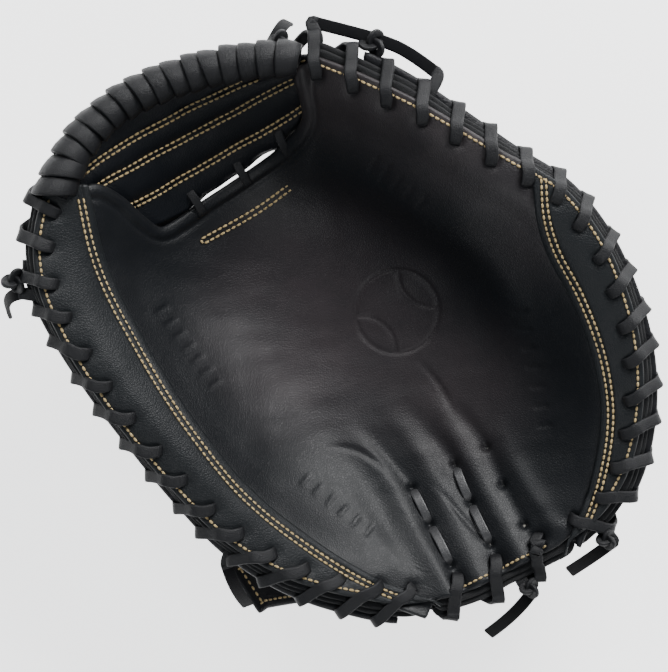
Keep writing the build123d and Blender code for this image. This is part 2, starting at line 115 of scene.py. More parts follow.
# The web's lower edge and its three stitched rows.
WEB_LOW = [
    (-62, 79), (-45, 76), (-30, 79.5), (-24.0, 84.6), (-19.5, 87.1), (1, 87.7), (17, 87.5),
    (21, 85.8), (29, 86.5), (34, 85.6), (40, 80), (52, 79),
]
WEB_ROWS = [
    [(-62, 99), (-45, 98), (-20, 99), (10, 97), (37, 93), (52, 92)],
    [(-63, 110), (-48, 112), (-25, 113), (10, 110), (40, 104), (53, 99)],
    [(-67, 117.5), (-48, 121.5), (-25, 123), (5, 120.5), (30, 114.5), (52, 105)],
]
# Each back shell's free edge: direction in degrees, distance from the middle, height.
THUMB_EDGE = [
    (134, 74, 16), (150, 52, 8), (180, 38, 5), (205, 44, 7), (225, 60, 10), (240, 78, 12), (248, 90, 13),
]
FINGER_EDGE = [
    (-64, 92, 13), (-56, 78, 12), (-38, 48, 9), (-15, 31, 6), (5, 28, 5), (25, 33, 6), (42, 50, 9),
    (53, 74, 15),
]
# The wrist strap's run seen from the heel, x and height, and the middle of its width.
STRAP = [
    (-103.5, 28), (-89, 16), (-72, 7.5), (-52, 2.6), (-25, 0.6), (10, 0.5), (40, 0.9), (62, 2.2), (82, 7.5),
]
STRAP_Y = -91.0
STRAP_LIFT = 5.8
AXIS_HEEL = np.array([-14.0, -135.0, 22.0])
AXIS_WEB = np.array([0.0, 82.0, 52.0])
# How far pieces that lie across the fold line reach to its finger side and thumb side.
PALM_BEND = (24, 26)
WEB_BEND = (52, 66)
STRAP_BEND = (40, 60)
HINGES = [
    [(-12, -75), (-14, -93), (-16, -113)],
    [(10, -77), (6.5, -95), (4, -115)],
    [(26, -78), (23, -96), (21, -116)],
]
TAILS = {
    "thumb_tail_lace": [(-109.5, 93, 99), (-118, 97, 97), (-122, 91, 64)],
    "thumb_lower_tail_lace": [(-100, -57, 80), (-104, -69, 76), (-104, -79, 54)],
    "web_tail_lace": [(43, 125, 101), (52, 130.5, 99), (55, 132, 71)],
    "heel_tail_lace": [(7, -144.5, 59), (-3, -149, 57), (-19, -152, 37)],
    "heel_corner_tail_lace": [(51, -144.5, 65), (41, -145.5, 63), (28, -148, 40)],
    "bridge_lace": [(62.5, 123, 105), (73, 112, 103), (83, 101, 102), (91.5, 89, 102), (96.5, 74, 103)],
}
# Lighter patches of the palm, partly rubbed wear in the pocket and partly painted sheen, a painted
# highlight, chiefly on the finger side's shelf by the rim: colour, and centre and reach in metres.
WEAR_AND_SHEEN = [
    ((0.042, 0.031, 0.034), (-0.010, 0.010, 0.035), 0.080),
    ((0.034, 0.026, 0.028), (0.028, -0.052, 0.035), 0.055),
    ((0.042, 0.034, 0.035), (0.052, 0.088, 0.105), 0.048),
    ((0.042, 0.034, 0.035), (0.083, 0.050, 0.100), 0.048),
    ((0.030, 0.025, 0.027), (0.094, -0.005, 0.095), 0.045),
]
CAMERA_AIM = np.array([-4.3, 2.3, 100.0])
CAMERA_HEIGHT = 1350.0
VIEW_WIDTH = 293.9


# ---------------------------------------------------------------- curves and the bowl
def smooth(points, count=200):
    """Points evenly along a smooth curve through a few points."""
    pts = np.array(points, float)
    at = np.concatenate([[0], np.cumsum(np.linalg.norm(np.diff(pts, axis=0), axis=1))])
    slope = np.diff(pts, axis=0) / np.diff(at)[:, None]
    tangent = np.vstack([slope[:1], (slope[:-1] + slope[1:]) / 2, slope[-1:]])
    s = np.linspace(0, at[-1], count)
    i = np.clip(np.searchsorted(at, s, side="right") - 1, 0, len(at) - 2)
    h = (at[i + 1] - at[i])[:, None]
    t = (s - at[i])[:, None] / h
    ends = (2 * t**3 - 3 * t**2 + 1) * pts[i] + (3 * t**2 - 2 * t**3) * pts[i + 1]
    return ends + h * ((t**3 - 2 * t**2 + t) * tangent[i] + (t**3 - t**2) * tangent[i + 1])


def along(points, shares):
    """Points at given shares of a polyline's length."""
    pts = np.asarray(points, float)
    run = np.concatenate([[0], np.cumsum(np.linalg.norm(np.diff(pts, axis=0), axis=1))])
    want = np.asarray(shares) * run[-1]
    return np.column_stack([np.interp(want, run, pts[:, k]) for k in range(pts.shape[1])])


def length_of(points):
    """A polyline's length."""
    return float(np.linalg.norm(np.diff(np.asarray(points), axis=0), axis=1).sum())


def unit(v):
    """Vectors scaled to length 1, along the last axis."""
    return v / np.linalg.norm(v, axis=-1, keepdims=True)


RING = smooth(RIM[-2:] + RIM + RIM[:2], 900)
RING_ANGLE = np.arctan2(RING[:, 1], RING[:, 0])
RING_ORDER = np.argsort(RING_ANGLE)
RIM_ANGLE = RING_ANGLE[RING_ORDER]
RIM_REACH = np.hypot(RING[:, 0], RING[:, 1])[RING_ORDER]
RIM_Z = RING[:, 2][RING_ORDER]
SIDE_TABLE = smooth(SIDE_PROFILE)
HEEL_TABLE = smooth(HEEL_PROFILE)
WEB_TABLE = smooth(WEB_PROFILE)
PAD_TABLE = smooth(PAD_PROFILE)


def rim_reach(phi):
    """The rim's distance from the middle, by direction."""
    return np.interp(phi, RIM_ANGLE, RIM_REACH, period=2 * pi)


def rim_height(phi):
    """The rim's height, by direction."""
    return np.interp(phi, RIM_ANGLE, RIM_Z, period=2 * pi)


def share_out(xy):
    """How far out plan points are: 0 in the middle, 1 on the rim."""
    return np.hypot(xy[..., 0], xy[..., 1]) / rim_reach(np.arctan2(xy[..., 1], xy[..., 0]))


def bowl(xy):
    """Height of the catching face over plan points."""
    phi = np.arctan2(xy[..., 1], xy[..., 0])
    out = share_out(xy)
    heel = np.interp(out, *HEEL_TABLE.T)
    web = np.interp(out, *WEB_TABLE.T)
    side = np.cos(phi) ** 2
    up = side * np.interp(out, *SIDE_TABLE.T) + (1 - side) * np.where(xy[..., 1] > 0, web, heel)
    return FLOOR_Z + (rim_height(phi) - FLOOR_Z) * up


def bowl_normal(xy):
    """Unit normals of the catching face, pointing into the pocket."""
    d = 3.0
    dx = bowl(xy - [d, 0]) - bowl(xy + [d, 0])
    dy = bowl(xy - [0, d]) - bowl(xy + [0, d])
    return unit(np.stack([dx, dy, np.full_like(dx, 2 * d)], axis=-1))


def under(xy, depth):
    """Points at a depth under the catching face. A negative depth is above it."""
    xy = np.asarray(xy, float)
    top = np.concatenate([xy, bowl(xy)[..., None]], axis=-1)
    return top - np.asarray(depth, float)[..., None] * bowl_normal(xy)


EDGE_DEGREES = np.linspace(-180, 540, 2881)
EDGE_RADIANS = np.radians(EDGE_DEGREES)
EDGE_POINTS = np.column_stack([
    rim_reach(EDGE_RADIANS) * np.cos(EDGE_RADIANS), rim_reach(EDGE_RADIANS) * np.sin(EDGE_RADIANS),
])
EDGE_RUN = np.concatenate([[0], np.cumsum(np.linalg.norm(np.diff(EDGE_POINTS, axis=0), axis=1))])
EDGE_TANGENT = unit(np.gradient(EDGE_POINTS, axis=0))


def rim_run(degrees):
    """Length along the rim's edge, in mm, to a direction in degrees."""
    return np.interp(degrees, EDGE_DEGREES, EDGE_RUN)


def rim_at(run, inset=0.0):
    """Plan points at lengths along the rim and insets from its edge, and their outward normals."""
    tangent = unit(np.stack([np.interp(run, EDGE_RUN, EDGE_TANGENT[:, k]) for k in (0, 1)], axis=-1))
    out = np.stack([tangent[..., 1], -tangent[..., 0]], axis=-1)
    edge = np.stack([np.interp(run, EDGE_RUN, EDGE_POINTS[:, k]) for k in (0, 1)], axis=-1)
    return edge - np.asarray(inset)[..., None] * out, out


FAN_RUN = rim_run(np.array(FAN)[:, 0])


def fan(run):
    """How far the rim's cut edges fan out at lengths along the rim."""
    return np.interp(run, FAN_RUN, np.array(FAN)[:, 1])


def fanned_rim(start, end, count=60):
    """Plan points along the top leather's edge, between two directions in degrees."""
    runs = np.linspace(rim_run(start), rim_run(end), count)
    return rim_at(runs, fan(runs))[0]


def rim_line(start, end, inset, count=40):
    """Plan points along a line inset from the rim, between two directions in degrees."""
    return rim_at(np.linspace(rim_run(start), rim_run(end), count), np.full(count, float(inset)))[0]


def patch(heel, web, inner, outer, na, nb):
    """A grid of plan points between four border lines. heel and web run from inner to outer."""
    a, b = np.linspace(0, 1, na), np.linspace(0, 1, nb)
    h, w = along(smooth(heel, 400), a), along(smooth(web, 400), a)
    i, o = along(smooth(inner, 400), b), along(smooth(outer, 400), b)
    a, b = a[None, :, None], b[:, None, None]
    low = (1 - a) * h[0] + a * h[-1]
    high = (1 - a) * w[0] + a * w[-1]
    return (1 - b) * (h[None] - low) + b * (w[None] - high) + (1 - a) * i[:, None] + a * o[:, None]


def thinned(line, step):
    """Every few points of a line, with its last."""
    return np.vstack([line[:-1:step], line[-1:]])


def distance(xy, line):
    """Distance of plan points from a polyline, and how far along it the nearest point is."""
    flat = xy.reshape(-1, 2)
    best = np.full(len(flat), 1e9)
    where = np.zeros(len(flat))
    run = 0.0
    for p, q in zip(line[:-1], line[1:]):
        d = q - p
        length = np.linalg.norm(d)
        t = np.clip((flat - p) @ d / length**2, 0, 1)
        gap = np.linalg.norm(flat - p - t[:, None] * d, axis=1)
        near = gap < best
        best[near] = gap[near]
        where[near] = run + t[near] * length
        run += length
    return best.reshape(xy.shape[:-1]), where.reshape(xy.shape[:-1])


def ripple(xy, seed, wavelength, count=6):
    """Smooth random undulation between about -1 and 1."""
    draw = np.random.default_rng(seed)
    total = np.zeros(xy.shape[:-1])
    for _ in range(count):
        angle = draw.uniform(0, pi)
        k = 2 * pi / (wavelength * draw.uniform(0.7, 1.5))
        wave = k * (xy[..., 0] * np.cos(angle) + xy[..., 1] * np.sin(angle)) + draw.uniform(0, 2 * pi)
        total += np.sin(wave + 0.8 * np.sin(0.37 * wave))
    return total / count


# ---------------------------------------------------------------- meshes
def make_object(name, verts, quads, material):
    """A smooth-shaded mesh object from points in mm and faces."""
    mesh = bpy.data.meshes.new(name)
    co = ((np.asarray(verts, float) - MIDDLE) * MM).astype(np.float32)
    quads = np.asarray(quads, np.int32)
    mesh.vertices.add(len(co))
    mesh.vertices.foreach_set("co", co.ravel())
    mesh.loops.add(quads.size)
    mesh.loops.foreach_set("vertex_index", quads.ravel())
    mesh.polygons.add(len(quads))
    mesh.polygons.foreach_set("loop_start", np.arange(len(quads), dtype=np.int32) * 4)
    mesh.polygons.foreach_set("loop_total", np.full(len(quads), 4, np.int32))
    mesh.update(calc_edges=True)
    mesh.validate()
    mesh.shade_smooth()
    mesh.materials.append(material)
    obj = bpy.data.objects.new(name, mesh)
    bpy.context.scene.collection.objects.link(obj)
    return obj


def grid_quads(rows, columns, start=0, closed=False):
    """Faces of a grid of points stored row by row. closed joins each row's end to its start."""
    r, c = np.meshgrid(np.arange(rows - 1), np.arange(columns if closed else columns - 1), indexing="ij")
    d = (c + 1) % columns
    corners = [r * columns + c, r * columns + d, (r + 1) * columns + d, (r + 1) * columns + c]
    return np.stack(corners, axis=-1).reshape(-1, 4) + start


def cap_quads(base, around):
    """Faces that close one end of a tube, whose ring of points starts at base."""
    k = np.arange(around // 2 - 1)
    return base + np.column_stack([k, k + 1, around - 2 - k, around - 1 - k])


def border(rows, columns):
    """Indices round the outside of a grid."""
    top = np.arange(columns)
    right = np.arange(1, rows) * columns + columns - 1
    bottom = (rows - 1) * columns + np.arange(columns - 2, -1, -1)
    left = np.arange(rows - 2, 0, -1) * columns
    return np.concatenate([top, right, bottom, left])


def slab_parts(top, bottom, bulge):
    """Points and faces of a closed slab between two grids, its edges rounded outwards."""
    rows, columns = top.shape[:2]
    t, b = top.reshape(-1, 3), bottom.reshape(-1, 3)
    count = len(t)
    ring = border(rows, columns)
    middle = (t[ring] + b[ring]) / 2
    half = (t[ring] - b[ring]) / 2
    tangent = np.roll(middle, -1, axis=0) - np.roll(middle, 1, axis=0)
    out = unit(np.cross(tangent, half))
    centre = middle.mean(axis=0)
    if ((middle - centre) * out).sum() < 0:
        out = -out
    thick = np.linalg.norm(half, axis=1, keepdims=True)
    verts = [t, b]
    bands = []
    start = 2 * count
    for k in range(1, EDGE_STEPS):
        angle = pi * k / EDGE_STEPS
        verts.append(middle + half * np.cos(angle) + out * thick * 2 * bulge * np.sin(angle))
        bands.append(start + np.arange(len(ring)))
        start += len(ring)
    loops = [ring] + bands + [ring + count]
    quads = [grid_quads(rows, columns)[:, ::-1], grid_quads(rows, columns, count)]
    for p, q in zip(loops[:-1], loops[1:]):
        quads.append(np.stack([p, np.roll(p, -1), np.roll(q, -1), q], axis=-1))
    return np.vstack(verts), np.vstack(quads)


def join_parts(parts):
    """Points and faces of several pieces as one."""
    verts, quads, start = [], [], 0
    for v, q in parts:
        verts.append(v)
        quads.append(q + start)
        start += len(v)
    return np.vstack(verts), np.vstack(quads)


def slab(name, top, bottom, material, bulge=0.4):
    """A closed leather sheet between two grids of points."""
    verts, quads = slab_parts(top, bottom, bulge)
    return make_object(name, verts, quads, material)


def layer(name, grid, top, bottom, material, bulge=0.4):
    """A closed leather sheet over a plan grid between two depths under the catching face."""
    return slab(name, under(grid, top), under(grid, bottom), material, bulge)


def ribbon_parts(path, side, width, thick):
    """Points and faces of a flat lace swept along a path. side is the direction across it."""
    path = np.asarray(path, float)
    run = unit(np.gradient(path, axis=0))
    side = np.broadcast_to(side, path.shape)
    across = unit(side - (side * run).sum(axis=1, keepdims=True) * run)
    up = np.cross(run, across)
    sides, corner = 12, 0.35
    angle = np.linspace(0, 2 * pi, sides, endpoint=False) + pi / sides
    c, s = np.cos(angle), np.sin(angle)
    section = np.column_stack([np.sign(c) * np.abs(c) ** corner, np.sign(s) * np.abs(s) ** corner])
    wide = np.broadcast_to(width / 2, len(path))[:, None, None]
    rings = path[:, None] + wide * section[None, :, :1] * across[:, None]
    rings = rings + thick / 2 * section[None, :, 1:] * up[:, None]
    verts = rings.reshape(-1, 3)
    caps = [cap_quads(base, sides) for base in (0, (len(path) - 1) * sides)]
    return verts, np.vstack([grid_quads(len(path), sides, closed=True), *caps])


def tube_parts(path, radius, around):
    """Points and faces of a round bar along a path, closed at both ends."""
    run = unit(np.gradient(path, axis=0))
    side = unit(np.cross(run, [0.0, 0.0, 1.0]))
    up = np.cross(side, run)
    angle = np.linspace(0, 2 * pi, around, endpoint=False)[None, :, None]
    rings = path[:, None] + radius * (np.cos(angle) * side[:, None] + np.sin(angle) * up[:, None])
    caps = [cap_quads(base, around) for base in (0, (len(path) - 1) * around)]
    return rings.reshape(-1, 3), np.vstack([grid_quads(len(path), around, closed=True), *caps])


def ribbons(name, pieces, material):
    """Several laces as one object."""
    return make_object(name, *join_parts(pieces), material)


def stitch_parts(line, normals, skip=None):
    """A row of thread stitches along a 3D line, each dipping into the leather at its ends.

    Stitches are left out where skip, a flag for each point of the line, is true.
    """
    total = length_of(line)
    count = max(int(total / STITCH_PITCH), 1)
    parts = []
    shape = np.linspace(-1, 1, 7)
    girth = np.sqrt(np.clip(1 - np.abs(shape) ** 3, 0.02, 1))
    ring = np.linspace(0, 2 * pi, 6, endpoint=False)
    for i in range(count):
        middle = (i + 0.5) * total / count
        if skip is not None and skip[int(middle / total * len(line))]:
            continue
        shares = (middle + shape * STITCH_LENGTH / 2) / total
        spine = along(line, np.clip(shares, 0, 1))
        up = unit(along(normals, np.clip(shares, 0, 1)))
        run = unit(np.gradient(spine, axis=0))
        across = np.cross(run, up)
        spine = spine + up * (THREAD * 0.55 * (1 - np.abs(shape) ** 2.5) - THREAD * 0.35)[:, None]
        circle = np.cos(ring)[None, :, None] * across[:, None]
        circle = circle + 0.8 * np.sin(ring)[None, :, None] * up[:, None]
        verts = (spine[:, None] + THREAD * girth[:, None, None] * circle).reshape(-1, 3)
        parts.append((verts, grid_quads(7, 6, closed=True)))
    return parts


def plan_stitches(line, depth):
    """Stitches along a plan line on the catching face."""
    xy = along(line, np.linspace(0, 1, max(int(length_of(line) / 1.5), 4)))
    return stitch_parts(under(xy, np.full(len(xy), depth)), bowl_normal(xy))


def offset_line(line, step):
    """A plan line moved sideways, to the left of its direction if step is positive."""
    run = unit(np.gradient(line, axis=0))
    return line + step * np.column_stack([-run[:, 1], run[:, 0]])


# ---------------------------------------------------------------- materials
def node(tree, kind, **values):
    """Adds a shader node and sets its properties and inputs."""
    made = tree.nodes.new(kind)
    for key, value in values.items():
        if hasattr(made, key):
            setattr(made, key, value)
        else:
            made.inputs[key.replace("_", " ")].default_value = value
    return made


def surface(
    name, colors, roughness, grain, scale, sheen=0.0, coat=0.0, gloss_level=0.3, wear_and_sheen=(), mottle=60.0
):
    """Leather, felt or thread: mottled colour, uneven gloss and layered bumps."""
    made = bpy.data.materials.new(name)
    made.use_nodes = True
    tree = made.node_tree
    link = tree.links.new
    shader = tree.nodes["Principled BSDF"]
    place = node(tree, "ShaderNodeTexCoord").outputs["Object"]
    patches = node(tree, "ShaderNodeTexNoise", Scale=mottle, Detail=5.0, Roughness=0.6)
    link(place, patches.inputs["Vector"])
    blend = node(tree, "ShaderNodeMix", data_type="RGBA")
    blend.inputs["A"].default_value = (*colors[0], 1)
    blend.inputs["B"].default_value = (*colors[1], 1)
    link(patches.outputs["Fac"], blend.inputs["Factor"])
    color = blend.outputs["Result"]
    for sheen_patch in wear_and_sheen:
        color = wear_and_sheen_color(tree, place, color, *sheen_patch)
    link(color, shader.inputs["Base Color"])
    gloss = node(tree, "ShaderNodeMapRange")
    gloss.inputs["To Min"].default_value = roughness[0]
    gloss.inputs["To Max"].default_value = roughness[1]
    fine = node(tree, "ShaderNodeTexNoise", Scale=scale * 0.35, Detail=6.0, Roughness=0.65)
    link(place, fine.inputs["Vector"])
    link(fine.outputs["Fac"], gloss.inputs["Value"])
    link(gloss.outputs["Result"], shader.inputs["Roughness"])
    cells = node(tree, "ShaderNodeTexVoronoi", feature="DISTANCE_TO_EDGE", Scale=scale)
    link(place, cells.inputs["Vector"])
    crease = node(tree, "ShaderNodeMapRange")
    crease.inputs["From Max"].default_value = 0.22
    link(cells.outputs["Distance"], crease.inputs["Value"])
    first = node(tree, "ShaderNodeBump", Strength=grain, Distance=0.00025)
    link(crease.outputs["Result"], first.inputs["Height"])
    second = node(tree, "ShaderNodeBump", Strength=grain, Distance=0.0004)
    link(fine.outputs["Fac"], second.inputs["Height"])
    link(first.outputs["Normal"], second.inputs["Normal"])
    link(second.outputs["Normal"], shader.inputs["Normal"])
    shader.inputs["Sheen Weight"].default_value = sheen
    shader.inputs["Sheen Roughness"].default_value = 0.45
    shader.inputs["Coat Weight"].default_value = coat
    shader.inputs["Coat Roughness"].default_value = 0.35
    shader.inputs["Specular IOR Level"].default_value = gloss_level
    return made


def wear_and_sheen_color(tree, place, color, tint, centre, reach):
    """Lightens the leather in a soft uneven patch round a point: rubbed wear, and painted sheen standing in
    for a highlight.
    """
    link = tree.links.new
    shifted = node(tree, "ShaderNodeVectorMath", operation="DISTANCE")
    shifted.inputs[1].default_value = centre
    link(place, shifted.inputs[0])
    fade = node(tree, "ShaderNodeMapRange", interpolation_type="SMOOTHSTEP")
    fade.inputs["From Min"].default_value = reach
    fade.inputs["From Max"].default_value = reach * 0.2
    link(shifted.outputs["Value"], fade.inputs["Value"])
    patch_noise = node(tree, "ShaderNodeTexNoise", Scale=24.0, Detail=7.0, Roughness=0.7)
    link(place, patch_noise.inputs["Vector"])
    amount = node(tree, "ShaderNodeMath", operation="MULTIPLY")
    link(fade.outputs["Result"], amount.inputs[0])
    link(patch_noise.outputs["Fac"], amount.inputs[1])
    blend = node(tree, "ShaderNodeMix", data_type="RGBA")
    blend.inputs["B"].default_value = (*tint, 1)
    link(amount.outputs["Value"], blend.inputs["Factor"])
    link(color, blend.inputs["A"])
    return blend.outputs["Result"]


# The palm's lighter patches are partly wear and partly painted sheen, a painted highlight.
PALM = surface(
    "palm_black_leather", ((0.0030, 0.0038, 0.0052), (0.0055, 0.0062, 0.0078)), (0.40, 0.56), 0.3, 900,
    sheen=0.02, coat=0.05, wear_and_sheen=WEAR_AND_SHEEN,
)
PANEL = surface(
    "panel_slate_leather", ((0.0050, 0.0062, 0.0074), (0.0080, 0.0095, 0.0110)), (0.42, 0.58), 0.35, 900,
    sheen=0.03,
)
SHELL = surface(
    "shell_black_leather", ((0.005, 0.005, 0.0065), (0.009, 0.009, 0.011)), (0.40, 0.56), 0.4, 800,
    sheen=0.02,
)
WEB = surface(
    "web_black_leather", ((0.0028, 0.0036, 0.0054), (0.0052, 0.0062, 0.0086)), (0.42, 0.58), 0.35, 850,
    gloss_level=0.2,
)
EDGE = surface("edge_black_leather", ((0.008, 0.0085, 0.0095), (0.02, 0.02, 0.021)), (0.6, 0.8), 0.7, 1500)
LACE = surface(
    "lace_black_rawhide", ((0.0045, 0.0048, 0.0058), (0.010, 0.010, 0.0115)), (0.46, 0.6), 0.35, 1300,
    gloss_level=0.32,
)
LOOSE_LACE = surface(
    "loose_black_rawhide", ((0.0035, 0.0038, 0.0045), (0.007, 0.007, 0.008)), (0.6, 0.75), 0.35, 1300,
    gloss_level=0.06,
)
# The heel's hinge laces: black rawhide given a light grey colour and a stronger coat, a painted highlight
# for their glints.
HINGE_LACE_HIGHLIGHT = surface(
    "hinge_rawhide_painted_highlight", ((0.022, 0.022, 0.024), (0.055, 0.055, 0.057)), (0.28, 0.42), 0.3, 1300, coat=0.3
)
LINING = surface(
    "lining_dark_leather", ((0.03, 0.026, 0.023), (0.05, 0.045, 0.04)), (0.6, 0.75), 0.4, 1200, sheen=0.2
)
FELT = surface("pad_wool_felt", ((0.42, 0.39, 0.33), (0.55, 0.52, 0.46)), (0.85, 0.95), 1.0, 1800, sheen=0.4)
FLEECE = surface(
    "strap_black_fleece", ((0.02, 0.02, 0.022), (0.05, 0.05, 0.053)), (0.9, 1.0), 1.0, 700, sheen=0.6
)
THREAD_GOLD = surface(
    "thread_gold", ((0.52, 0.34, 0.12), (0.88, 0.70, 0.38)), (0.45, 0.6), 0.8, 3500, sheen=0.1, mottle=700.0
)


def row_point(p):
    """A point in mm from the pocket's middle as a point in the row frame, in metres."""
    return tuple(float(c) for c in (np.asarray(p, float) - MIDDLE) * MM)


def bend_across(obj, finger_reach, thumb_reach):
    """Bakes obj's transform into its mesh. finger_reach and thumb_reach, distances in mm to the fold line's
    finger side and thumb side, are not used.
    """
    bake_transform(obj)


def finish_piece(obj, slot, *nodes):
    """Hides the CAD nodes that the piece stands for. slot, the finish slot, is not used."""
    if nodes:
        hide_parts(*nodes)


def place(obj, carrier, slot, *nodes):
    """Attaches a piece to a body, given by name, or else bakes its transform when given a pair of reaches,
    and hides its CAD nodes.
    """
    if isinstance(carrier, str):
        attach(obj, carrier)
    else:
        bend_across(obj, *carrier)
    finish_piece(obj, slot, *nodes)


# ---------------------------------------------------------------- palm and side panels
THUMB_LINE = smooth(THUMB_SEAM, 160)
FINGER_LINE = smooth(FINGER_SEAM, 130)


def groove(gap, width):
    """A soft groove's depth by distance from its line."""
    return np.exp(-((gap / width) ** 2))


def lace_stations(span):
    """Lengths along the rim of evenly spaced laces."""
    start, end = rim_run(span[0]), rim_run(span[1])
    count = int(round((end - start) / LACE_PITCH)) + 1
    return np.linspace(start, end, count)


STATIONS = {
    "thumb": lace_stations((124.5, 251)),
    "finger": lace_stations((-73, 61)),
    "heel": lace_stations((261, 279)),
}


def pucker(xy):
    """How far the laces pull the leather down into their holes, in mm."""
    depth = np.zeros(xy.shape[:-1])
    for runs in STATIONS.values():
        for spot in rim_at(runs, fan(runs) + 6.5)[0]:
            gap = np.linalg.norm(xy - spot, axis=-1)
            depth += 1.5 * np.exp(-((gap / 3.2) ** 2)) + 0.5 * np.exp(-((gap / 8.0) ** 2))
    return depth


def hinge_relief(xy):
    """The heel's soft ridges between its lace columns, in mm, up positive."""
    height = np.zeros(xy.shape[:-1])
    for holes in HINGES:
        top = holes[0]
        line = smooth([(holes[2][0] - 0.6, -128), *holes[::-1], (top[0] - 2, -52), (top[0] - 5, -30)], 40)
        gap, run = distance(xy, line)
        height -= 1.5 * groove(gap, 3.6) * np.clip((92 - run) / 35, 0, 1)
        for hole in holes:
            height -= 2.4 * groove(np.linalg.norm(xy - np.array(hole), axis=-1), 1.7)
    for points, tall, width in (
        ([(-9, -126), (-4, -92), (-1, -62), (-4, -34)], 1.9, 5.0),
        ([(12, -128), (15.5, -94), (18, -64), (18, -38)], 1.7, 4.6),
        ([(-24, -124), (-22, -92), (-20, -62), (-24, -30)], 1.7, 5.2),
        ([(32, -124), (33, -94), (38, -66)], 1.3, 4.4),
        ([(-36, -108), (-38, -78), (-36, -46)], 0.9, 4.8),
    ):
        line = smooth(points, 40)
        gap, run = distance(xy, line)
        height += tall * groove(gap, width) * np.clip((length_of(line) - run) / 30, 0, 1)
    for points in (
        [(-17, -66), (-24, -48), (-34, -38)],
        [(4, -122), (0, -100), (-3, -78)],
        [(22, -60), (24, -44), (22, -26)],
    ):
        line = smooth(points, 30)
        gap, run = distance(xy, line)
        height -= 0.8 * groove(gap, 1.5) * np.sin(pi * np.clip(run / length_of(line), 0, 1))
    return height


def mark_relief(xy):
    """A pressed ball emblem: a circle with two seam arcs, and plain bars near the web and sides."""
    depth = np.zeros(xy.shape[:-1])
    centre = np.array([26.0, -4.0])
    from_centre = np.linalg.norm(xy - centre, axis=-1)
    depth += groove(from_centre - 19, 0.9)
    for side in (-1, 1):
        arc = np.linalg.norm(xy - centre - side * np.array([23.0, 6.0]), axis=-1)
        depth += groove(arc - 15.5, 0.8) * (from_centre < 18.5)
    for start, end, count in (
        ((55, 62), (68, 30), 5),
        ((-63, 58), (-61, 10), 7),
        ((-52, -42), (-38, -84), 6),
        ((76, -30), (52, -88), 7),
    ):
        run = unit(np.array(end, float) - start)
        across = np.array([-run[1], run[0]])
        for i in range(count):
            spot = np.array(start) + (np.array(end) - np.array(start)) * (i + 0.5) / count
            u, v = (xy - spot) @ run, (xy - spot) @ across
            depth += 0.6 * np.exp(-((u / 1.2) ** 4) - (v / 3.2) ** 4)
    return -0.7 * np.clip(depth, 0, 1)


def palm_height(xy):
    """Everything that stands above or below the palm's plain bowl, in mm."""
    height = 0.55 * ripple(xy, 3, 46) + 0.22 * ripple(xy, 5, 17)
    shelf = smooth(SHELF, 60)
    gap, run = distance(xy, shelf)
    fade = np.sin(pi * np.clip((run + 18) / (length_of(shelf) + 30), 0, 1)) ** 0.8
    height += 9.0 * groove(gap, 14) * fade
    height += hinge_relief(xy) + mark_relief(xy) - pucker(xy)
    height -= 0.7 * groove(distance(xy, smooth(WEB_EDGE, 80))[0] - 5.2, 1.3) * (xy[..., 1] > 60)
    height += 0.9 * groove(distance(xy, smooth(WEB_EDGE, 80))[0] - 2.0, 2.4) * (xy[..., 1] > 60)
    for line, side in ((THUMB_LINE, 1), (FINGER_LINE, -1)):
        gap, _ = distance(xy, line)
        height -= 1.0 * groove(gap, 4.0)
    return height


def palm():
    """The palm leather, with its creases, hem and pressed emblem."""
    left = THUMB_LINE - [4.5, 0]
    right = np.vstack([FINGER_LINE[:-10:6] + [4.5, 0], fanned_rim(SEAM_FORK + 3, FINGER_RIM[1] - 2, 12)])
    heel = np.vstack([left[:1], fanned_rim(HEEL_RIM[0] - 1, HEEL_RIM[1] + 1, 8), right[:1]])
    web = np.vstack([left[-1:], WEB_EDGE[1:], right[-1:]])
    grid = patch(heel, web, thinned(left, 8), right, 250, 300)
    height = palm_height(grid)
    obj = layer("palm_leather_cover", grid, -height, LEATHER - height * 0.6, PALM)
    place(obj, PALM_BEND, "shell_leather", "palm_leather")


def panel_depth(xy, seam):
    """Depth of a side panel's face: it laps over the palm, swells beside its seam, and drops to the rim."""
    gap, _ = distance(xy, seam)
    rows = 0.7 * (groove(gap - LAP - ROW_GAP, 0.7) + groove(gap - LAP + ROW_GAP, 0.7))
    lap = -1.9 * np.exp(-((gap / 12.0) ** 2))
    return lap + rows + 0.8 * pucker(xy) - 0.3 * ripple(xy, 11, 30)


def panel_edges():
    """The inner edge of each side panel, lapped over the palm beyond its stitched seam."""
    return THUMB_LINE + [LAP + 0.5, 0], FINGER_LINE - [LAP - 0.5, 0]


def side_panels():
    """The two crescent panels beside the rim."""
    for name, inner, span in zip(
        ("thumb_side", "finger_side"), panel_edges(), (THUMB_RIM[::-1], (FINGER_RIM[0], SEAM_FORK))
    ):
        outer = fanned_rim(*span)
        grid = patch([inner[0], outer[0]], [inner[-1], outer[-1]], thinned(inner, 6), outer, 60, 300)
        depth = panel_depth(grid, inner)
        obj = layer(f"{name}_panel_cover", grid, depth, depth + 2.3, PANEL)
        place(obj, name, "panel_leather", f"{name}_panel")


def seam_stitches():
    """Double gold rows along both panels' seams."""
    for name, inner, side in zip(("thumb_side", "finger_side"), panel_edges(), (1, -1)):
        parts = []
        for step in (LAP - ROW_GAP, LAP + ROW_GAP):
            row = offset_line(inner, side * step)[12:-3]
            depth = float(panel_depth(row[60:61], inner)[0])
            parts += plan_stitches(row, depth - 0.15)
        obj = make_object(f"{name}_seam_stitches", *join_parts(parts), THREAD_GOLD)
        place(obj, name, "panel_leather")


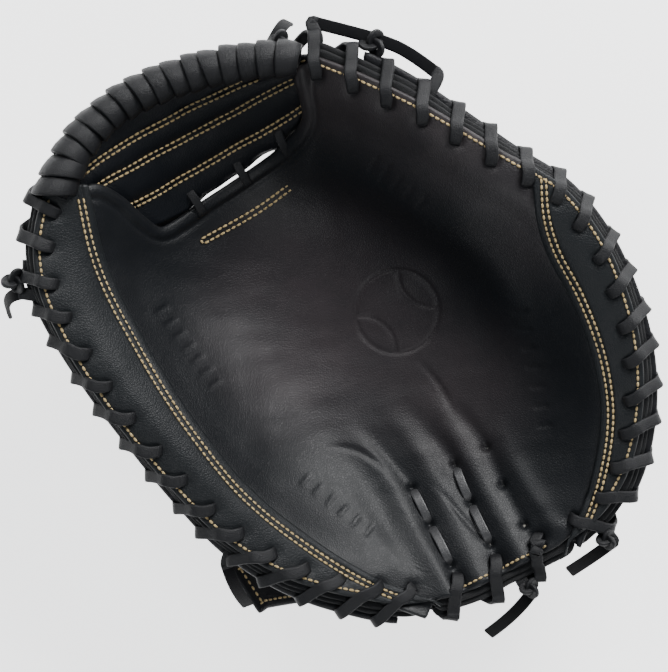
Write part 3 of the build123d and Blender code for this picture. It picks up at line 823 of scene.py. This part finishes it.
# ---------------------------------------------------------------- rim
def rim_band(span, top, bottom, share, wobble):
    """One strip of the laced rim, its cut edge at a share of the fan and rounded at both ends."""
    start, end = rim_run(span[0]), rim_run(span[1])
    runs = np.linspace(start, end, int((end - start) / 1.5))
    corner = np.clip(1 - np.minimum(runs - start, end - runs) / 6, 0, 1)
    edge = fan(runs) * share - 0.6 + 5.0 * (1 - np.sqrt(1 - corner**2))
    edge += wobble * (np.sin(runs / 7.3) + 0.5 * np.sin(runs / 3.1 + 1))
    insets = [edge + s * (13.5 - edge) for s in (1, 0.8, 0.6, 0.4, 0.2, 0.06, 0)]
    grid = np.stack([rim_at(runs, inset)[0] for inset in insets], axis=1)
    sag = 0.45 * pucker(grid) + 0.25 * ripple(grid, 23 + int(top * 10), 14)
    return slab_parts(under(grid, top + sag), under(grid, bottom + sag), 0.45)


def rim_layers():
    """The welts between the shells, seen as stacked edges round the rim."""
    for name, span, body in (
        ("thumb_rim_welt", THUMB_RIM, "thumb_side"),
        ("finger_rim_welt", FINGER_RIM, "finger_side"),
        ("heel_welt", HEEL_RIM, None),
    ):
        bands = [rim_band(span, 2.75, 4.35, 0.66, 0.25), rim_band(span, 4.6, 6.3, 0.34, 0.3)]
        obj = make_object(f"{name}_edges", *join_parts(bands), EDGE)
        place(obj, body or PALM_BEND, "welt_leather", name)


def rim_stitches():
    """A single gold row just inside the top leather's edge, between the laces."""
    for name, span, body in (
        ("thumb_rim", (122.5, 254), "thumb_side"),
        ("finger_rim", (-74, 62.5), "finger_side"),
        ("heel_rim", (258, 281), None),
    ):
        start, end = rim_run(span[0]), rim_run(span[1])
        runs = np.linspace(start, end, int((end - start) / 1.5))
        xy, _ = rim_at(runs, fan(runs) + 1.9)
        on_panel = panel_depth(xy, panel_edges()[0 if name == "thumb_rim" else 1])
        on_palm = np.full(len(runs), name == "heel_rim")
        if name == "finger_rim":
            on_palm = runs > rim_run(SEAM_FORK + 2)
        line = under(xy, np.where(on_palm, -palm_height(xy), on_panel) - 0.2)
        to_seam = np.minimum(*(distance(xy, edge)[0] for edge in panel_edges()))
        crossing = (to_seam < 7.5) & (xy[:, 1] < -60)
        parts = stitch_parts(line, bowl_normal(xy), skip=crossing)
        obj = make_object(f"{name}_stitches", *join_parts(parts), THREAD_GOLD)
        place(obj, body or PALM_BEND, "welt_leather")


def lace_path(station, stack, pitch, way, slant):
    """One turn of the rim lace: out of its hole, over the edge on a slant, and back to the next hole."""
    fanned = float(fan(station))
    hole = fanned + 6.5
    drift = np.tan(radians(slant)) * (hole + 2.5)
    back = pitch - drift
    turn = [
        (-0.4, hole + 2.4, 4.5), (-0.2, hole + 1.2, 1.2), (0.03 * drift, hole - 0.2, -0.7),
        (0.22 * drift, hole - 3.4, -1.5), (0.52 * drift, fanned + 0.4, -1.35),
        (0.72 * drift, fanned * 0.5, 1.4), (0.9 * drift, -1.0, 4.2), (drift, -2.8, stack * 0.62),
        (drift + 0.06 * back, -2.6, stack * 0.9), (drift + 0.2 * back, -0.4, stack + 1.5),
        (drift + 0.55 * back, 4.5, stack + 1.9), (drift + 0.85 * back, 8.6, stack + 1.7),
        (pitch, 10.2, stack - 1.0), (pitch, 10.8, stack - 4.0),
    ]
    turn = smooth(turn, 48)
    xy, out = rim_at(station + way * turn[:, 0], turn[:, 1])
    points = under(xy, turn[:, 2])
    along_rim = np.column_stack([-out[:, 1], out[:, 0]]) * way
    lay = np.sin(radians(slant)) * np.clip(1 - (turn[:, 0] - drift) / 3, 0, 1)
    side = along_rim * np.sqrt(1 - lay**2)[:, None] + out * -lay[:, None]
    return points, np.column_stack([side, np.zeros(len(side))])


def perimeter_laces():
    """The flat lace whipped round the rim. It leans towards the web on both sides."""
    for name, stack, body, way, slants in (
        ("thumb", STACK, "thumb_side", -1, (8, 45)),
        ("finger", STACK, "finger_side", 1, (34, 26)),
        ("heel", HEEL_STACK + 1, None, -1, (22, 22)),
    ):
        pieces = []
        stations = STATIONS[name]
        for i, station in enumerate(stations):
            nudge = rng.uniform(-0.6, 0.6)
            slant = np.interp(i, [0, 4], slants) + rng.uniform(-4, 4)
            path, side = lace_path(station + nudge, stack + 0.3, LACE_PITCH, way, slant)
            side = side + rng.uniform(-0.2, 0.2) * bowl_normal(path[:, :2])
            taper = 1 - 0.3 * np.clip(1 - np.arange(len(path)) / 9, 0, 1) ** 1.5
            pieces.append(ribbon_parts(path, side, LACE_WIDTH * rng.uniform(0.93, 1.05) * taper, LACE_THICK))
        obj = ribbons(f"{name}_perimeter_laces", pieces, LACE)
        place(obj, body or PALM_BEND, "lace_leather", f"{name}_perimeter_lace")


# ---------------------------------------------------------------- web
def web_grid(columns, rows):
    """Plan points over the web, from its lower edge to the bar, and the row they lie on."""
    high = rim_line(119.5, 69, 11.0, 12)
    share = np.linspace(0, 1, columns)
    lines = [along(smooth(line, 200), share) for line in (WEB_LOW, *WEB_ROWS, high)]
    v = np.linspace(0, 4, rows)
    i = np.clip(v.astype(int), 0, 3)
    t = (v - i)[:, None, None]
    stacked = np.array(lines)
    return stacked[i] * (1 - t) + stacked[i + 1] * t, v


def web_hang(xy):
    """Depth of the web under the bowl: its ends tuck behind the tips of both sides."""
    hem = 2.8 * np.clip((86.8 - xy[..., 1]) / 2.5, 0, 1)
    return 1.0 + 8.5 * np.clip(np.abs(xy[..., 0] + 4) / 54, 0, 1.3) ** 2.6 + hem


def web():
    """The web's pleated face and its plain back."""
    grid, v = web_grid(220, 110)
    level = np.abs(v - np.round(v))[:, None]
    roll = 1.9 * np.sin(pi * (v - np.floor(v))[:, None]) ** 0.7
    roll = roll * np.where(v[:, None] > 3, 0.5, 1.0)
    pinch = 0.35 * np.sin(grid[..., 0] / 2.6 + 2.2 * np.sin(v[:, None] * 2.1)) * groove(level, 0.16)
    height = roll + pinch + 0.5 * ripple(grid, 31, 26)
    hang = web_hang(grid)
    obj = layer("web_pleated_cover", grid, hang - height, hang + 3.0, WEB, 0.5)
    place(obj, WEB_BEND, "shell_leather", "web_panel")
    coarse, low = grid[::4, ::4], hang[::4, ::4]
    back = slab("web_back_lining", under(coarse, low + 3.4), under(coarse, low + 5.4), LINING, 0.45)
    place(back, WEB_BEND, "liner_leather", "web_back_panel")
    parts = []
    for row in WEB_ROWS:
        line = smooth(row, 120)
        for step in (-ROW_GAP, ROW_GAP):
            xy = along(offset_line(line, step), np.linspace(0.02, 0.98, 90))
            depth = web_hang(xy) - 0.5 * ripple(xy, 31, 26) - 1.0
            parts += stitch_parts(under(xy, depth), bowl_normal(xy))
    stitches = make_object("web_row_stitches", *join_parts(parts), THREAD_GOLD)
    place(stitches, WEB_BEND, "shell_leather")


def bar_line(count):
    """Centreline of the web's top bar, from the thumb side to the finger side."""
    runs = np.linspace(rim_run(121.5), rim_run(66.5), count)
    xy, _ = rim_at(runs, BAR_RADIUS + WRAP_THICK - 1.6 - 1.2 * np.linspace(1, 0, count) ** 2)
    z = rim_height(np.arctan2(xy[:, 1], xy[:, 0])) - 4
    return np.column_stack([xy, z])


def bar():
    """The rolled bar: flat wide laces wound on it, each lapping over its neighbour towards the thumb."""
    line = bar_line(400)
    total = length_of(line)
    run = unit(np.gradient(line, axis=0))
    pitch = total / WRAPS
    angle = np.linspace(0, 2 * pi, 44, endpoint=False)
    outer = BAR_RADIUS + WRAP_THICK - 0.3
    parts = []
    for i in range(WRAPS):
        width = pitch * 1.22
        bulk = rng.uniform(-0.25, 0.25) + (0.6 if i < 2 else 0.0)
        section = np.array([
            (0.0, outer - 1.6), (0.0, outer + 0.15), (0.25, outer + 0.6), (0.8, outer + 0.72),
            (0.35 * width, outer + 0.5), (0.7 * width, outer - 0.35), (width, outer - 1.5),
            (width, outer - 3.0), (0.6 * width, outer - 2.6), (0.3 * width, outer - 1.8),
        ])
        lean = rng.uniform(-0.7, 0.7) + (2.6 if i < 2 else -0.4)
        turn = rng.uniform(0, 2 * pi)
        s = i * pitch + section[None, :, 0] + lean * np.cos(angle + 0.3)[:, None]
        radius = section[None, :, 1] + bulk + 0.22 * np.cos(2 * angle + turn)[:, None]
        share = np.clip(s / total, 0, 1)
        centre = along(line, share.ravel()).reshape(*share.shape, 3)
        forward = unit(along(run, share.ravel()).reshape(*share.shape, 3))
        side = unit(np.cross(forward, [0.0, 0.0, 1.0]))
        up = np.cross(side, forward)
        past = (s - share * total)[..., None] * forward
        verts = centre + past + radius[..., None] * (
            np.cos(angle)[:, None, None] * side + np.sin(angle)[:, None, None] * up
        )
        count = len(section)
        quads = grid_quads(44, count, closed=True)
        seam = np.stack([
            43 * count + np.arange(count), 43 * count + (np.arange(count) + 1) % count,
            (np.arange(count) + 1) % count, np.arange(count),
        ], axis=-1)
        parts.append((verts.reshape(-1, 3), np.vstack([quads, seam])))
    obj = make_object("web_bar_wraps", *join_parts(parts), LACE)
    place(obj, WEB_BEND, "lace_leather", "web_bar_wrap")
    tube, quads = tube_parts(line, BAR_RADIUS, 24)
    core = make_object("web_bar_roll", tube, quads, SHELL)
    place(core, WEB_BEND, "shell_leather", "web_bar_core")


def slot_laces():
    """Three short laces that cross the slot between the palm's hem and the web."""
    pieces = []
    for x in (-24.0, 1.0, 24.0):
        shape = smooth([
            (79.5, 4.5), (80.5, 1.4), (82, -0.9), (85.5, -1.9), (89.5, -1.7), (92, -0.4), (93, 3.5),
        ], 30)
        xy = np.column_stack([x + 0.06 * (shape[:, 0] - 86), shape[:, 0]])
        pieces.append(ribbon_parts(under(xy, shape[:, 1]), np.array([1.0, 0, 0]), 0.72 * LACE_WIDTH, 1.5))
    obj = ribbons("web_slot_laces", pieces, LACE)
    place(obj, WEB_BEND, "lace_leather", "web_slot_lace")


def hem_stitches():
    """The box of double stitching across the palm's hem, under the slot."""
    parts = []
    for y in (68.5, 71.0):
        parts += plan_stitches(smooth([(-31, y + 1.5), (0, y), (29, y + 1.5)], 60), -0.35)
    parts += plan_stitches(np.array([(-31.5, 70.5), (-31.5, 72)]), -0.35)
    obj = make_object("palm_hem_stitches", *join_parts(parts), THREAD_GOLD)
    place(obj, PALM_BEND, "shell_leather")


# ---------------------------------------------------------------- heel hinges
def hinge_laces():
    """The short runs of lace between the holes of the heel's two hinges."""
    for name, holes in (("thumb", HINGES[0]), ("finger", HINGES[1])):
        pieces = []
        for start, end in zip(holes[:-1], holes[1:]):
            a, b = np.array(start, float), np.array(end, float)
            run = unit(b - a)
            length = np.linalg.norm(b - a)
            sink = [(0.9, 5.2), (1.6, 3.2), (3.4, 0.9), (length / 2, -0.3)]
            shape = smooth(sink + [(length - a, b) for a, b in sink[2::-1]], 30)
            xy = a + shape[:, :1] * run
            across = np.array([-run[1], run[0], 0.0])
            pieces.append(ribbon_parts(under(xy, shape[:, 1]), across, LACE_WIDTH * 0.72, 1.5))
        obj = ribbons(f"heel_hinge_laces_{name}", pieces, HINGE_LACE_HIGHLIGHT)
        carrier = PALM_BEND if name == "thumb" else "finger_side"
        place(obj, carrier, "lace_leather", f"heel_hinge_lace_{name}")


# ---------------------------------------------------------------- back shells, strap and inside
def shell_section(degrees, edge, lift):
    """A back shell's profile in one direction, from the rim to its free edge."""
    phi = radians(degrees)
    ray = np.array([np.cos(phi), np.sin(phi), 0.0])
    reach = float(rim_reach(phi))
    _, out = rim_at(rim_run(np.array([degrees])), np.zeros(1))
    slant = 1 / float(out[0] @ ray[:2])
    wall = 15.4 * slant
    tip, tip_z = [float(np.interp(degrees, edge[:, 0], edge[:, k])) for k in (1, 2)]
    top, hold = [under((reach - s * slant) * ray[:2], STACK) for s in (-1.0, 10.8)]
    z = hold[2]
    floor = lift(degrees) + 1.0
    rest = reach - tip - wall
    shape = [
        (13.2 * slant, z - 1.3), (14.6 * slant, z - 5), (wall, z - 13), (wall + 0.03 * rest, 0.60 * z),
        (wall + 0.11 * rest, 0.33 * z + 0.4 * floor), (wall + 0.27 * rest, 0.12 * z + 0.8 * floor),
        (wall + 0.50 * rest, 0.01 * z + floor), (wall + 0.80 * rest, floor + 0.3),
    ]
    points = [top, hold] + [(reach - s) * ray + [0, 0, h] for s, h in shape] + [tip * ray + [0, 0, tip_z]]
    return smooth(points, 121)


def strap_lift(full, none):
    """How high a back shell stands over the strap, by direction."""

    def lift(degrees):
        t = min(max((degrees - none) / (full - none), 0.0), 1.0)
        return STRAP_LIFT * t * t * (3 - 2 * t)

    return lift


def back_shells():
    """The two back shells, with finger channels, a bound edge and gold seams."""
    for name, edge, lift, lobes in (
        ("thumb", THUMB_EDGE, strap_lift(214, 196), 1),
        ("finger", FINGER_EDGE, strap_lift(-34, -18), 3),
    ):
        table = smooth(edge, 60)
        count = 170
        directions = np.linspace(table[0, 0], table[-1, 0], count)
        outer = np.array([shell_section(d, table, lift) for d in directions])
        normal = unit(np.cross(np.gradient(outer, axis=1), np.gradient(outer, axis=0)))
        if normal[count // 2, 4, 2] < 0:
            normal = -normal
        share = np.linspace(0, 1, 121)[None, :, None]
        across = np.linspace(0, 1, count)[:, None, None]
        middle = np.sin(pi * np.clip((share - 0.14) / 0.8, 0, 1)) ** 1.2
        channel = 1.1 * (np.abs(np.sin(pi * lobes * across)) - 0.5) * middle
        wrinkle = 0.5 * ripple(outer[..., :2] + outer[..., 2:] * 0.7, 41, 26)[..., None] * middle
        sunk = 0.7 * groove(share - 0.90, 0.012) * -1.0
        face = outer - normal * (channel + wrinkle + sunk)
        obj = slab(f"{name}_back_shell_cover", outer + normal * LEATHER, face, SHELL, 0.5)
        place(obj, f"{name}_side", "shell_leather", f"{name}_back_shell")
        parts = []
        rows = [(face[4:-4, k], -normal[4:-4, k]) for k in (107, 110)]
        for i in range(1, lobes):
            k = int(count * i / lobes)
            rows += [(face[k + step, 30:104], -normal[k + step, 30:104]) for step in (-1, 1)]
        rows += [(face[k, 16:116], -normal[k, 16:116]) for k in (3, count - 4)]
        for line, up in rows:
            parts += stitch_parts(line, up)
        stitches = make_object(f"{name}_back_shell_stitches", *join_parts(parts), THREAD_GOLD)
        place(stitches, f"{name}_side", "shell_leather")


def strap_sides(x):
    """The strap's two edges: it narrows to a slanted end beyond the thumb."""
    end = np.clip((-50 - x) / 50, 0, 1)
    return STRAP_Y - 20 + 25 * end, STRAP_Y + 20 + 9 * end


def strap_grid(lift, low, high, margin, columns, rows):
    """Points over the wrist strap at a height above its outer face, inside a margin."""
    line = smooth(STRAP, columns * 2)
    first, last = int(low * (columns * 2 - 1)), int(high * (columns * 2 - 1))
    line = line[first : last + 1]
    slope = unit(np.gradient(line, axis=0))
    bottom, top = strap_sides(line[:, :1])
    y = bottom + margin + (top - bottom - 2 * margin) * np.linspace(0, 1, rows)
    lift = np.broadcast_to(lift, (len(line), rows))
    x = line[:, :1] - slope[:, 1:] * lift
    z = line[:, 1:] + slope[:, :1] * lift
    return np.stack([x, np.broadcast_to(y, x.shape), z], axis=-1)


def wrist():
    """The wrist strap with its stitched border, and the fleece pad inside it."""
    inside, outside = [strap_grid(lift, 0, 1, 0, 110, 30) for lift in (LEATHER, 0)]
    strap = slab("wrist_strap_cover", inside, outside, SHELL, 0.5)
    place(strap, STRAP_BEND, "shell_leather", "wrist_strap")
    parts = []
    line = strap_grid(0, 0.01, 0.99, 2.5, 110, 30)
    for rows in (line[:, 0], line[:, -1]):
        down = np.tile([0.0, 0.0, -1.0], (len(rows), 1))
        parts += stitch_parts(rows, down)
    inner = strap_grid(2.6, 0.005, 0.36, 2.5, 110, 30)
    for rows in (inner[:, 0], inner[:, -1]):
        parts += stitch_parts(rows, np.tile([0.3, 0.0, 0.95], (len(rows), 1)))
    parts += stitch_parts(inner[2, :], np.tile([0.5, 0.0, 0.85], (30, 1)))
    stitches = make_object("wrist_strap_stitches", *join_parts(parts), THREAD_GOLD)
    place(stitches, STRAP_BEND, "shell_leather")
    base = strap_grid(0, 0.42, 0.70, 2, 160, 60)
    u = np.linspace(0, 1, base.shape[0])[:, None]
    v = np.linspace(0, 1, 60)[None, :]
    crown = (np.sin(pi * u) * np.sin(pi * v)) ** 0.28
    tufts = 0.5 * ripple(base[..., :2], 51, 3.2, 9)
    top = strap_grid(3.2 + (5.6 + tufts) * crown, 0.42, 0.70, 2, 160, 60)
    fleece = slab("wrist_strap_fleece_pad", top, strap_grid(2.9, 0.42, 0.70, 2, 160, 60), FLEECE)
    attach(fleece, "finger_side")
    finish_piece(fleece, "fleece", "wrist_strap_fleece")


def felt_bottom(xy, share):
    """Depth of the felt's hand side."""
    return LEATHER + GAP + share * np.interp(share_out(xy), *PAD_TABLE.T)


def fold_edge(y, side):
    """Plan points beside the fold line, clear of the other side when the mitt is folded."""
    share = (y - AXIS_HEEL[1]) / (AXIS_WEB[1] - AXIS_HEEL[1])
    x = AXIS_HEEL[0] * (1 - share)
    z = AXIS_HEEL[2] + share * (AXIS_WEB[2] - AXIS_HEEL[2])
    above = np.maximum(bowl(np.column_stack([x, y])) - z, 0)
    return np.column_stack([x + side * (1.5 + 1.1 * above * np.tan(radians(15))), y])


def pads():
    """The felt pads and the soft liners under them."""
    for name, side, share, start, span, notch in (
        ("thumb", -1, 1.0, 258, (243, 126), [(-24, 66), (-42, 68), (-55, 78), (-64, 90)]),
        ("finger", 1, 0.9, -91, (-65, 55), [(20, 66), (36, 68), (47, 78), (55, 90)]),
    ):
        for kind, inset, end, edge in (
            ("pad", PAD_INSET, span[1], notch),
            ("liner", PAD_INSET + 13, span[1] - 9 * side, notch[:2]),
        ):
            heel = rim_line(start, span[0], inset, 6)
            inner = np.vstack([heel[:1], fold_edge(np.linspace(heel[0][1] + 14, 66, 7), side)])
            outer = rim_line(span[0], end, inset, 12)
            web_edge = np.vstack([inner[-1:], edge, outer[-1:]])
            grid = patch(heel, web_edge, inner, outer, 70, 110)
            low = felt_bottom(grid, share)
            crumple = 0.4 * ripple(grid, 61 + side, 12)
            if kind == "pad":
                obj = layer(f"{name}_felt_pad", grid, LEATHER + GAP + 0.4, low + 0.5 * crumple, FELT, 0.3)
                nodes = ("felt", f"{name}_pad")
            else:
                low = low + LINER_GAP + 1.2 * crumple
                obj = layer(f"{name}_palm_lining", grid, low, low + LINER, LINING, 0.5)
                nodes = ("liner_leather", f"{name}_palm_liner")
            place(obj, f"{name}_side", *nodes)


def finger_loop(name, centre, width, height, depth, body):
    """A soft leather loop for a finger."""
    x, y, z = centre
    deep, around = 14, 72
    rows = np.linspace(-depth / 2, depth / 2, deep)
    angle = np.linspace(0, 2 * pi, around, endpoint=False)
    flat = (width - height) / 2
    rings = []
    for r in (height / 2, height / 2 - LINER):
        xs = x + flat * np.sign(np.cos(angle)) * np.clip(np.abs(np.cos(angle)) * 3, 0, 1) + r * np.cos(angle)
        zs = z + r * np.sin(angle)
        axes = [np.broadcast_to(values, (deep, around)) for values in (xs, y + rows[:, None], zs)]
        rings.append(np.stack(axes, axis=-1))
    outer, inner = rings
    verts = np.vstack([outer.reshape(-1, 3), inner.reshape(-1, 3)])
    size = deep * around
    quads = [grid_quads(deep, around, closed=True), grid_quads(deep, around, size, closed=True)[:, ::-1]]
    c = np.arange(around)
    d = (c + 1) % around
    for row in (0, deep - 1):
        base = row * around
        cap = np.stack([base + c, base + d, size + base + d, size + base + c], axis=-1)
        quads.append(cap if row else cap[:, ::-1])
    obj = make_object(f"{name}_lining", verts, np.vstack(quads), LINING)
    place(obj, body, "liner_leather", name)


def index_guard():
    """The domed tongue over the index finger, inside the finger shell's free edge."""
    x, y = np.meshgrid(np.linspace(-18, 26, 50), np.linspace(-14, 34, 54))
    dome = np.where(np.abs(x - 4) < 20, 9.0 * np.cos(pi * (x - 4) / 40) ** 2, 0.0)
    z = 8.8 + dome * np.cos(pi * (y - 10) / 70)
    low = np.stack([x, y, z], axis=-1)
    obj = slab("index_finger_guard_cover", low + [0, 0, LEATHER], low, SHELL, 0.5)
    place(obj, "finger_side", "shell_leather", "index_finger_guard")
    parts = []
    for row in (low[3], low[-4], low[:, 3], low[:, -4]):
        parts += stitch_parts(row, np.tile([0.0, 0.0, -1.0], (len(row), 1)))
    stitches = make_object("index_finger_guard_stitches", *join_parts(parts), THREAD_GOLD)
    place(stitches, "finger_side", "shell_leather")


# ---------------------------------------------------------------- free laces
def tail_curve(name, points):
    """A free lace as a flat ribbon curve."""
    curve = bpy.data.curves.new(f"{name}_end", "CURVE")
    curve.dimensions = "3D"
    curve.extrude = 0.0019
    curve.bevel_depth = 0.0009
    curve.bevel_resolution = 3
    curve.resolution_u = 16
    curve.use_fill_caps = True
    spline = curve.splines.new("NURBS")
    spline.points.add(len(points) - 1)
    for target, point in zip(spline.points, points):
        target.co = (*row_point(point), 1)
        target.tilt = pi / 2
    spline.order_u = 3
    spline.use_endpoint_u = True
    curve.materials.append(LOOSE_LACE)
    obj = bpy.data.objects.new(f"{name}_end", curve)
    bpy.context.scene.collection.objects.link(obj)
    return obj


def knot(name, centre, size, body):
    """A tied knot in a flat lace."""
    t = np.linspace(0, 2 * pi, 90)
    loops = np.column_stack([
        np.sin(t) + 1.6 * np.sin(2 * t), np.cos(t) - 1.6 * np.cos(2 * t), -0.95 * np.sin(3 * t),
    ])
    path = np.array(centre, float) + size * loops
    obj = ribbons(name, [ribbon_parts(path, unit(loops + [0, 0, 0.6]), 3.6, 1.9)], LACE)
    place(obj, body, "lace_leather")


def tuck(name, end, inner, body):
    """Where a free lace goes in under the rim."""
    end, inner = np.array(end, float), np.array(inner, float)
    degrees = np.degrees(np.arctan2(end[1], end[0])) % 360
    run = rim_run(np.array([degrees - 360 if degrees > 285 else degrees]))
    inside = under(rim_at(run, np.array([7.0]))[0], np.array([6.6]))[0]
    edge = under(rim_at(run, np.array([-0.5]))[0], np.array([6.6]))[0]
    path = smooth([inside, edge, end, end + 0.15 * (inner - end)], 24)
    side = unit(np.cross(np.gradient(path, axis=0), [0.0, 0.0, 1.0]))
    obj = ribbons(name, [ribbon_parts(path, side, LACE_WIDTH, LACE_THICK)], LACE)
    place(obj, body, "lace_leather")


def free_laces():
    """The loose lace ends, the lace that bridges the rim by the web, and their knots."""
    knot("thumb_tail_knot", (-109, 99, 100), 1.7, "thumb_side")
    knot("bridge_knot", (80, 100.5, 104), 1.9, "finger_side")
    knot("web_tail_knot", (46, 124, 103), 1.4, "web")
    knot("heel_tail_knot", (8, -142, 62), 1.3, "finger_side")
    knot("heel_corner_knot", (49, -142, 67), 1.3, "finger_side")
    for name, points in TAILS.items():
        obj = tail_curve(name, points)
        body = {"thumb": "thumb_side", "web": "web"}.get(name.split("_")[0], "finger_side")
        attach(obj, body)
        if body != "web":
            tuck(f"{name}_tuck", points[0], points[1], body)
        if name == "bridge_lace":
            tuck(f"{name}_far_tuck", points[-1], points[-2], body)
        finish_piece(obj, "lace_leather", name)


# ---------------------------------------------------------------- stage
def stage():
    """A pale floor, soft lights and the camera over the pocket."""
    bpy.ops.mesh.primitive_plane_add(size=6, location=(0, 0, -0.0005))
    floor = bpy.context.object
    floor.name = "floor"
    material = bpy.data.materials.new("pale_floor")
    material.use_nodes = True
    shader = material.node_tree.nodes["Principled BSDF"]
    shader.inputs["Base Color"].default_value = (0.9, 0.9, 0.9, 1)
    shader.inputs["Roughness"].default_value = 0.9
    shader.inputs["Emission Color"].default_value = (1, 1, 1, 1)
    shader.inputs["Emission Strength"].default_value = 2.0
    floor.data.materials.append(material)
    world = bpy.data.worlds.new("studio")
    world.use_nodes = True
    world.node_tree.nodes["Background"].inputs["Color"].default_value = (0.72, 0.86, 1, 1)
    world.node_tree.nodes["Background"].inputs["Strength"].default_value = 0.17
    bpy.context.scene.world = world
    for place, size, power in (
        ((0.95, 0.45, 0.8), 0.6, 27),
        ((-0.1, 0.9, 1.0), 0.5, 8),
        ((-0.45, -0.8, 0.9), 0.5, 4.5),
    ):
        light = bpy.data.lights.new("softbox", "AREA")
        light.size = size
        light.energy = power
        lamp = bpy.data.objects.new("softbox", light)
        lamp.location = place
        lamp.rotation_euler = (Vector((0, 0, 0.06)) - Vector(place)).to_track_quat("-Z", "Y").to_euler()
        bpy.context.scene.collection.objects.link(lamp)
    camera = bpy.data.cameras.new("camera")
    camera.sensor_fit = "HORIZONTAL"
    camera.angle = 2 * atan(VIEW_WIDTH / 2 / (CAMERA_HEIGHT - CAMERA_AIM[2]))
    camera.clip_end = 20
    view = bpy.data.objects.new("camera", camera)
    right, up = Vector((0.8387, -0.5446, 0)), Vector((0.5446, 0.8387, 0))
    turn = Matrix((right, up, Vector((0, 0, 1)))).transposed().to_4x4()
    spot = row_point((CAMERA_AIM[0], CAMERA_AIM[1], CAMERA_HEIGHT))
    view.matrix_world = Matrix.Translation(spot) @ turn
    bpy.context.scene.collection.objects.link(view)
    bpy.context.scene.camera = view


palm()
side_panels()
seam_stitches()
rim_layers()
rim_stitches()
perimeter_laces()
web()
bar()
slot_laces()
hem_stitches()
hinge_laces()
back_shells()
wrist()
pads()
finger_loop("thumb_loop", (-55, -8, 22), 34, 26, 22, "thumb_side")
finger_loop("little_finger_loop", (64, -12, 22), 30, 26, 20, "finger_side")
index_guard()
free_laces()
stage()
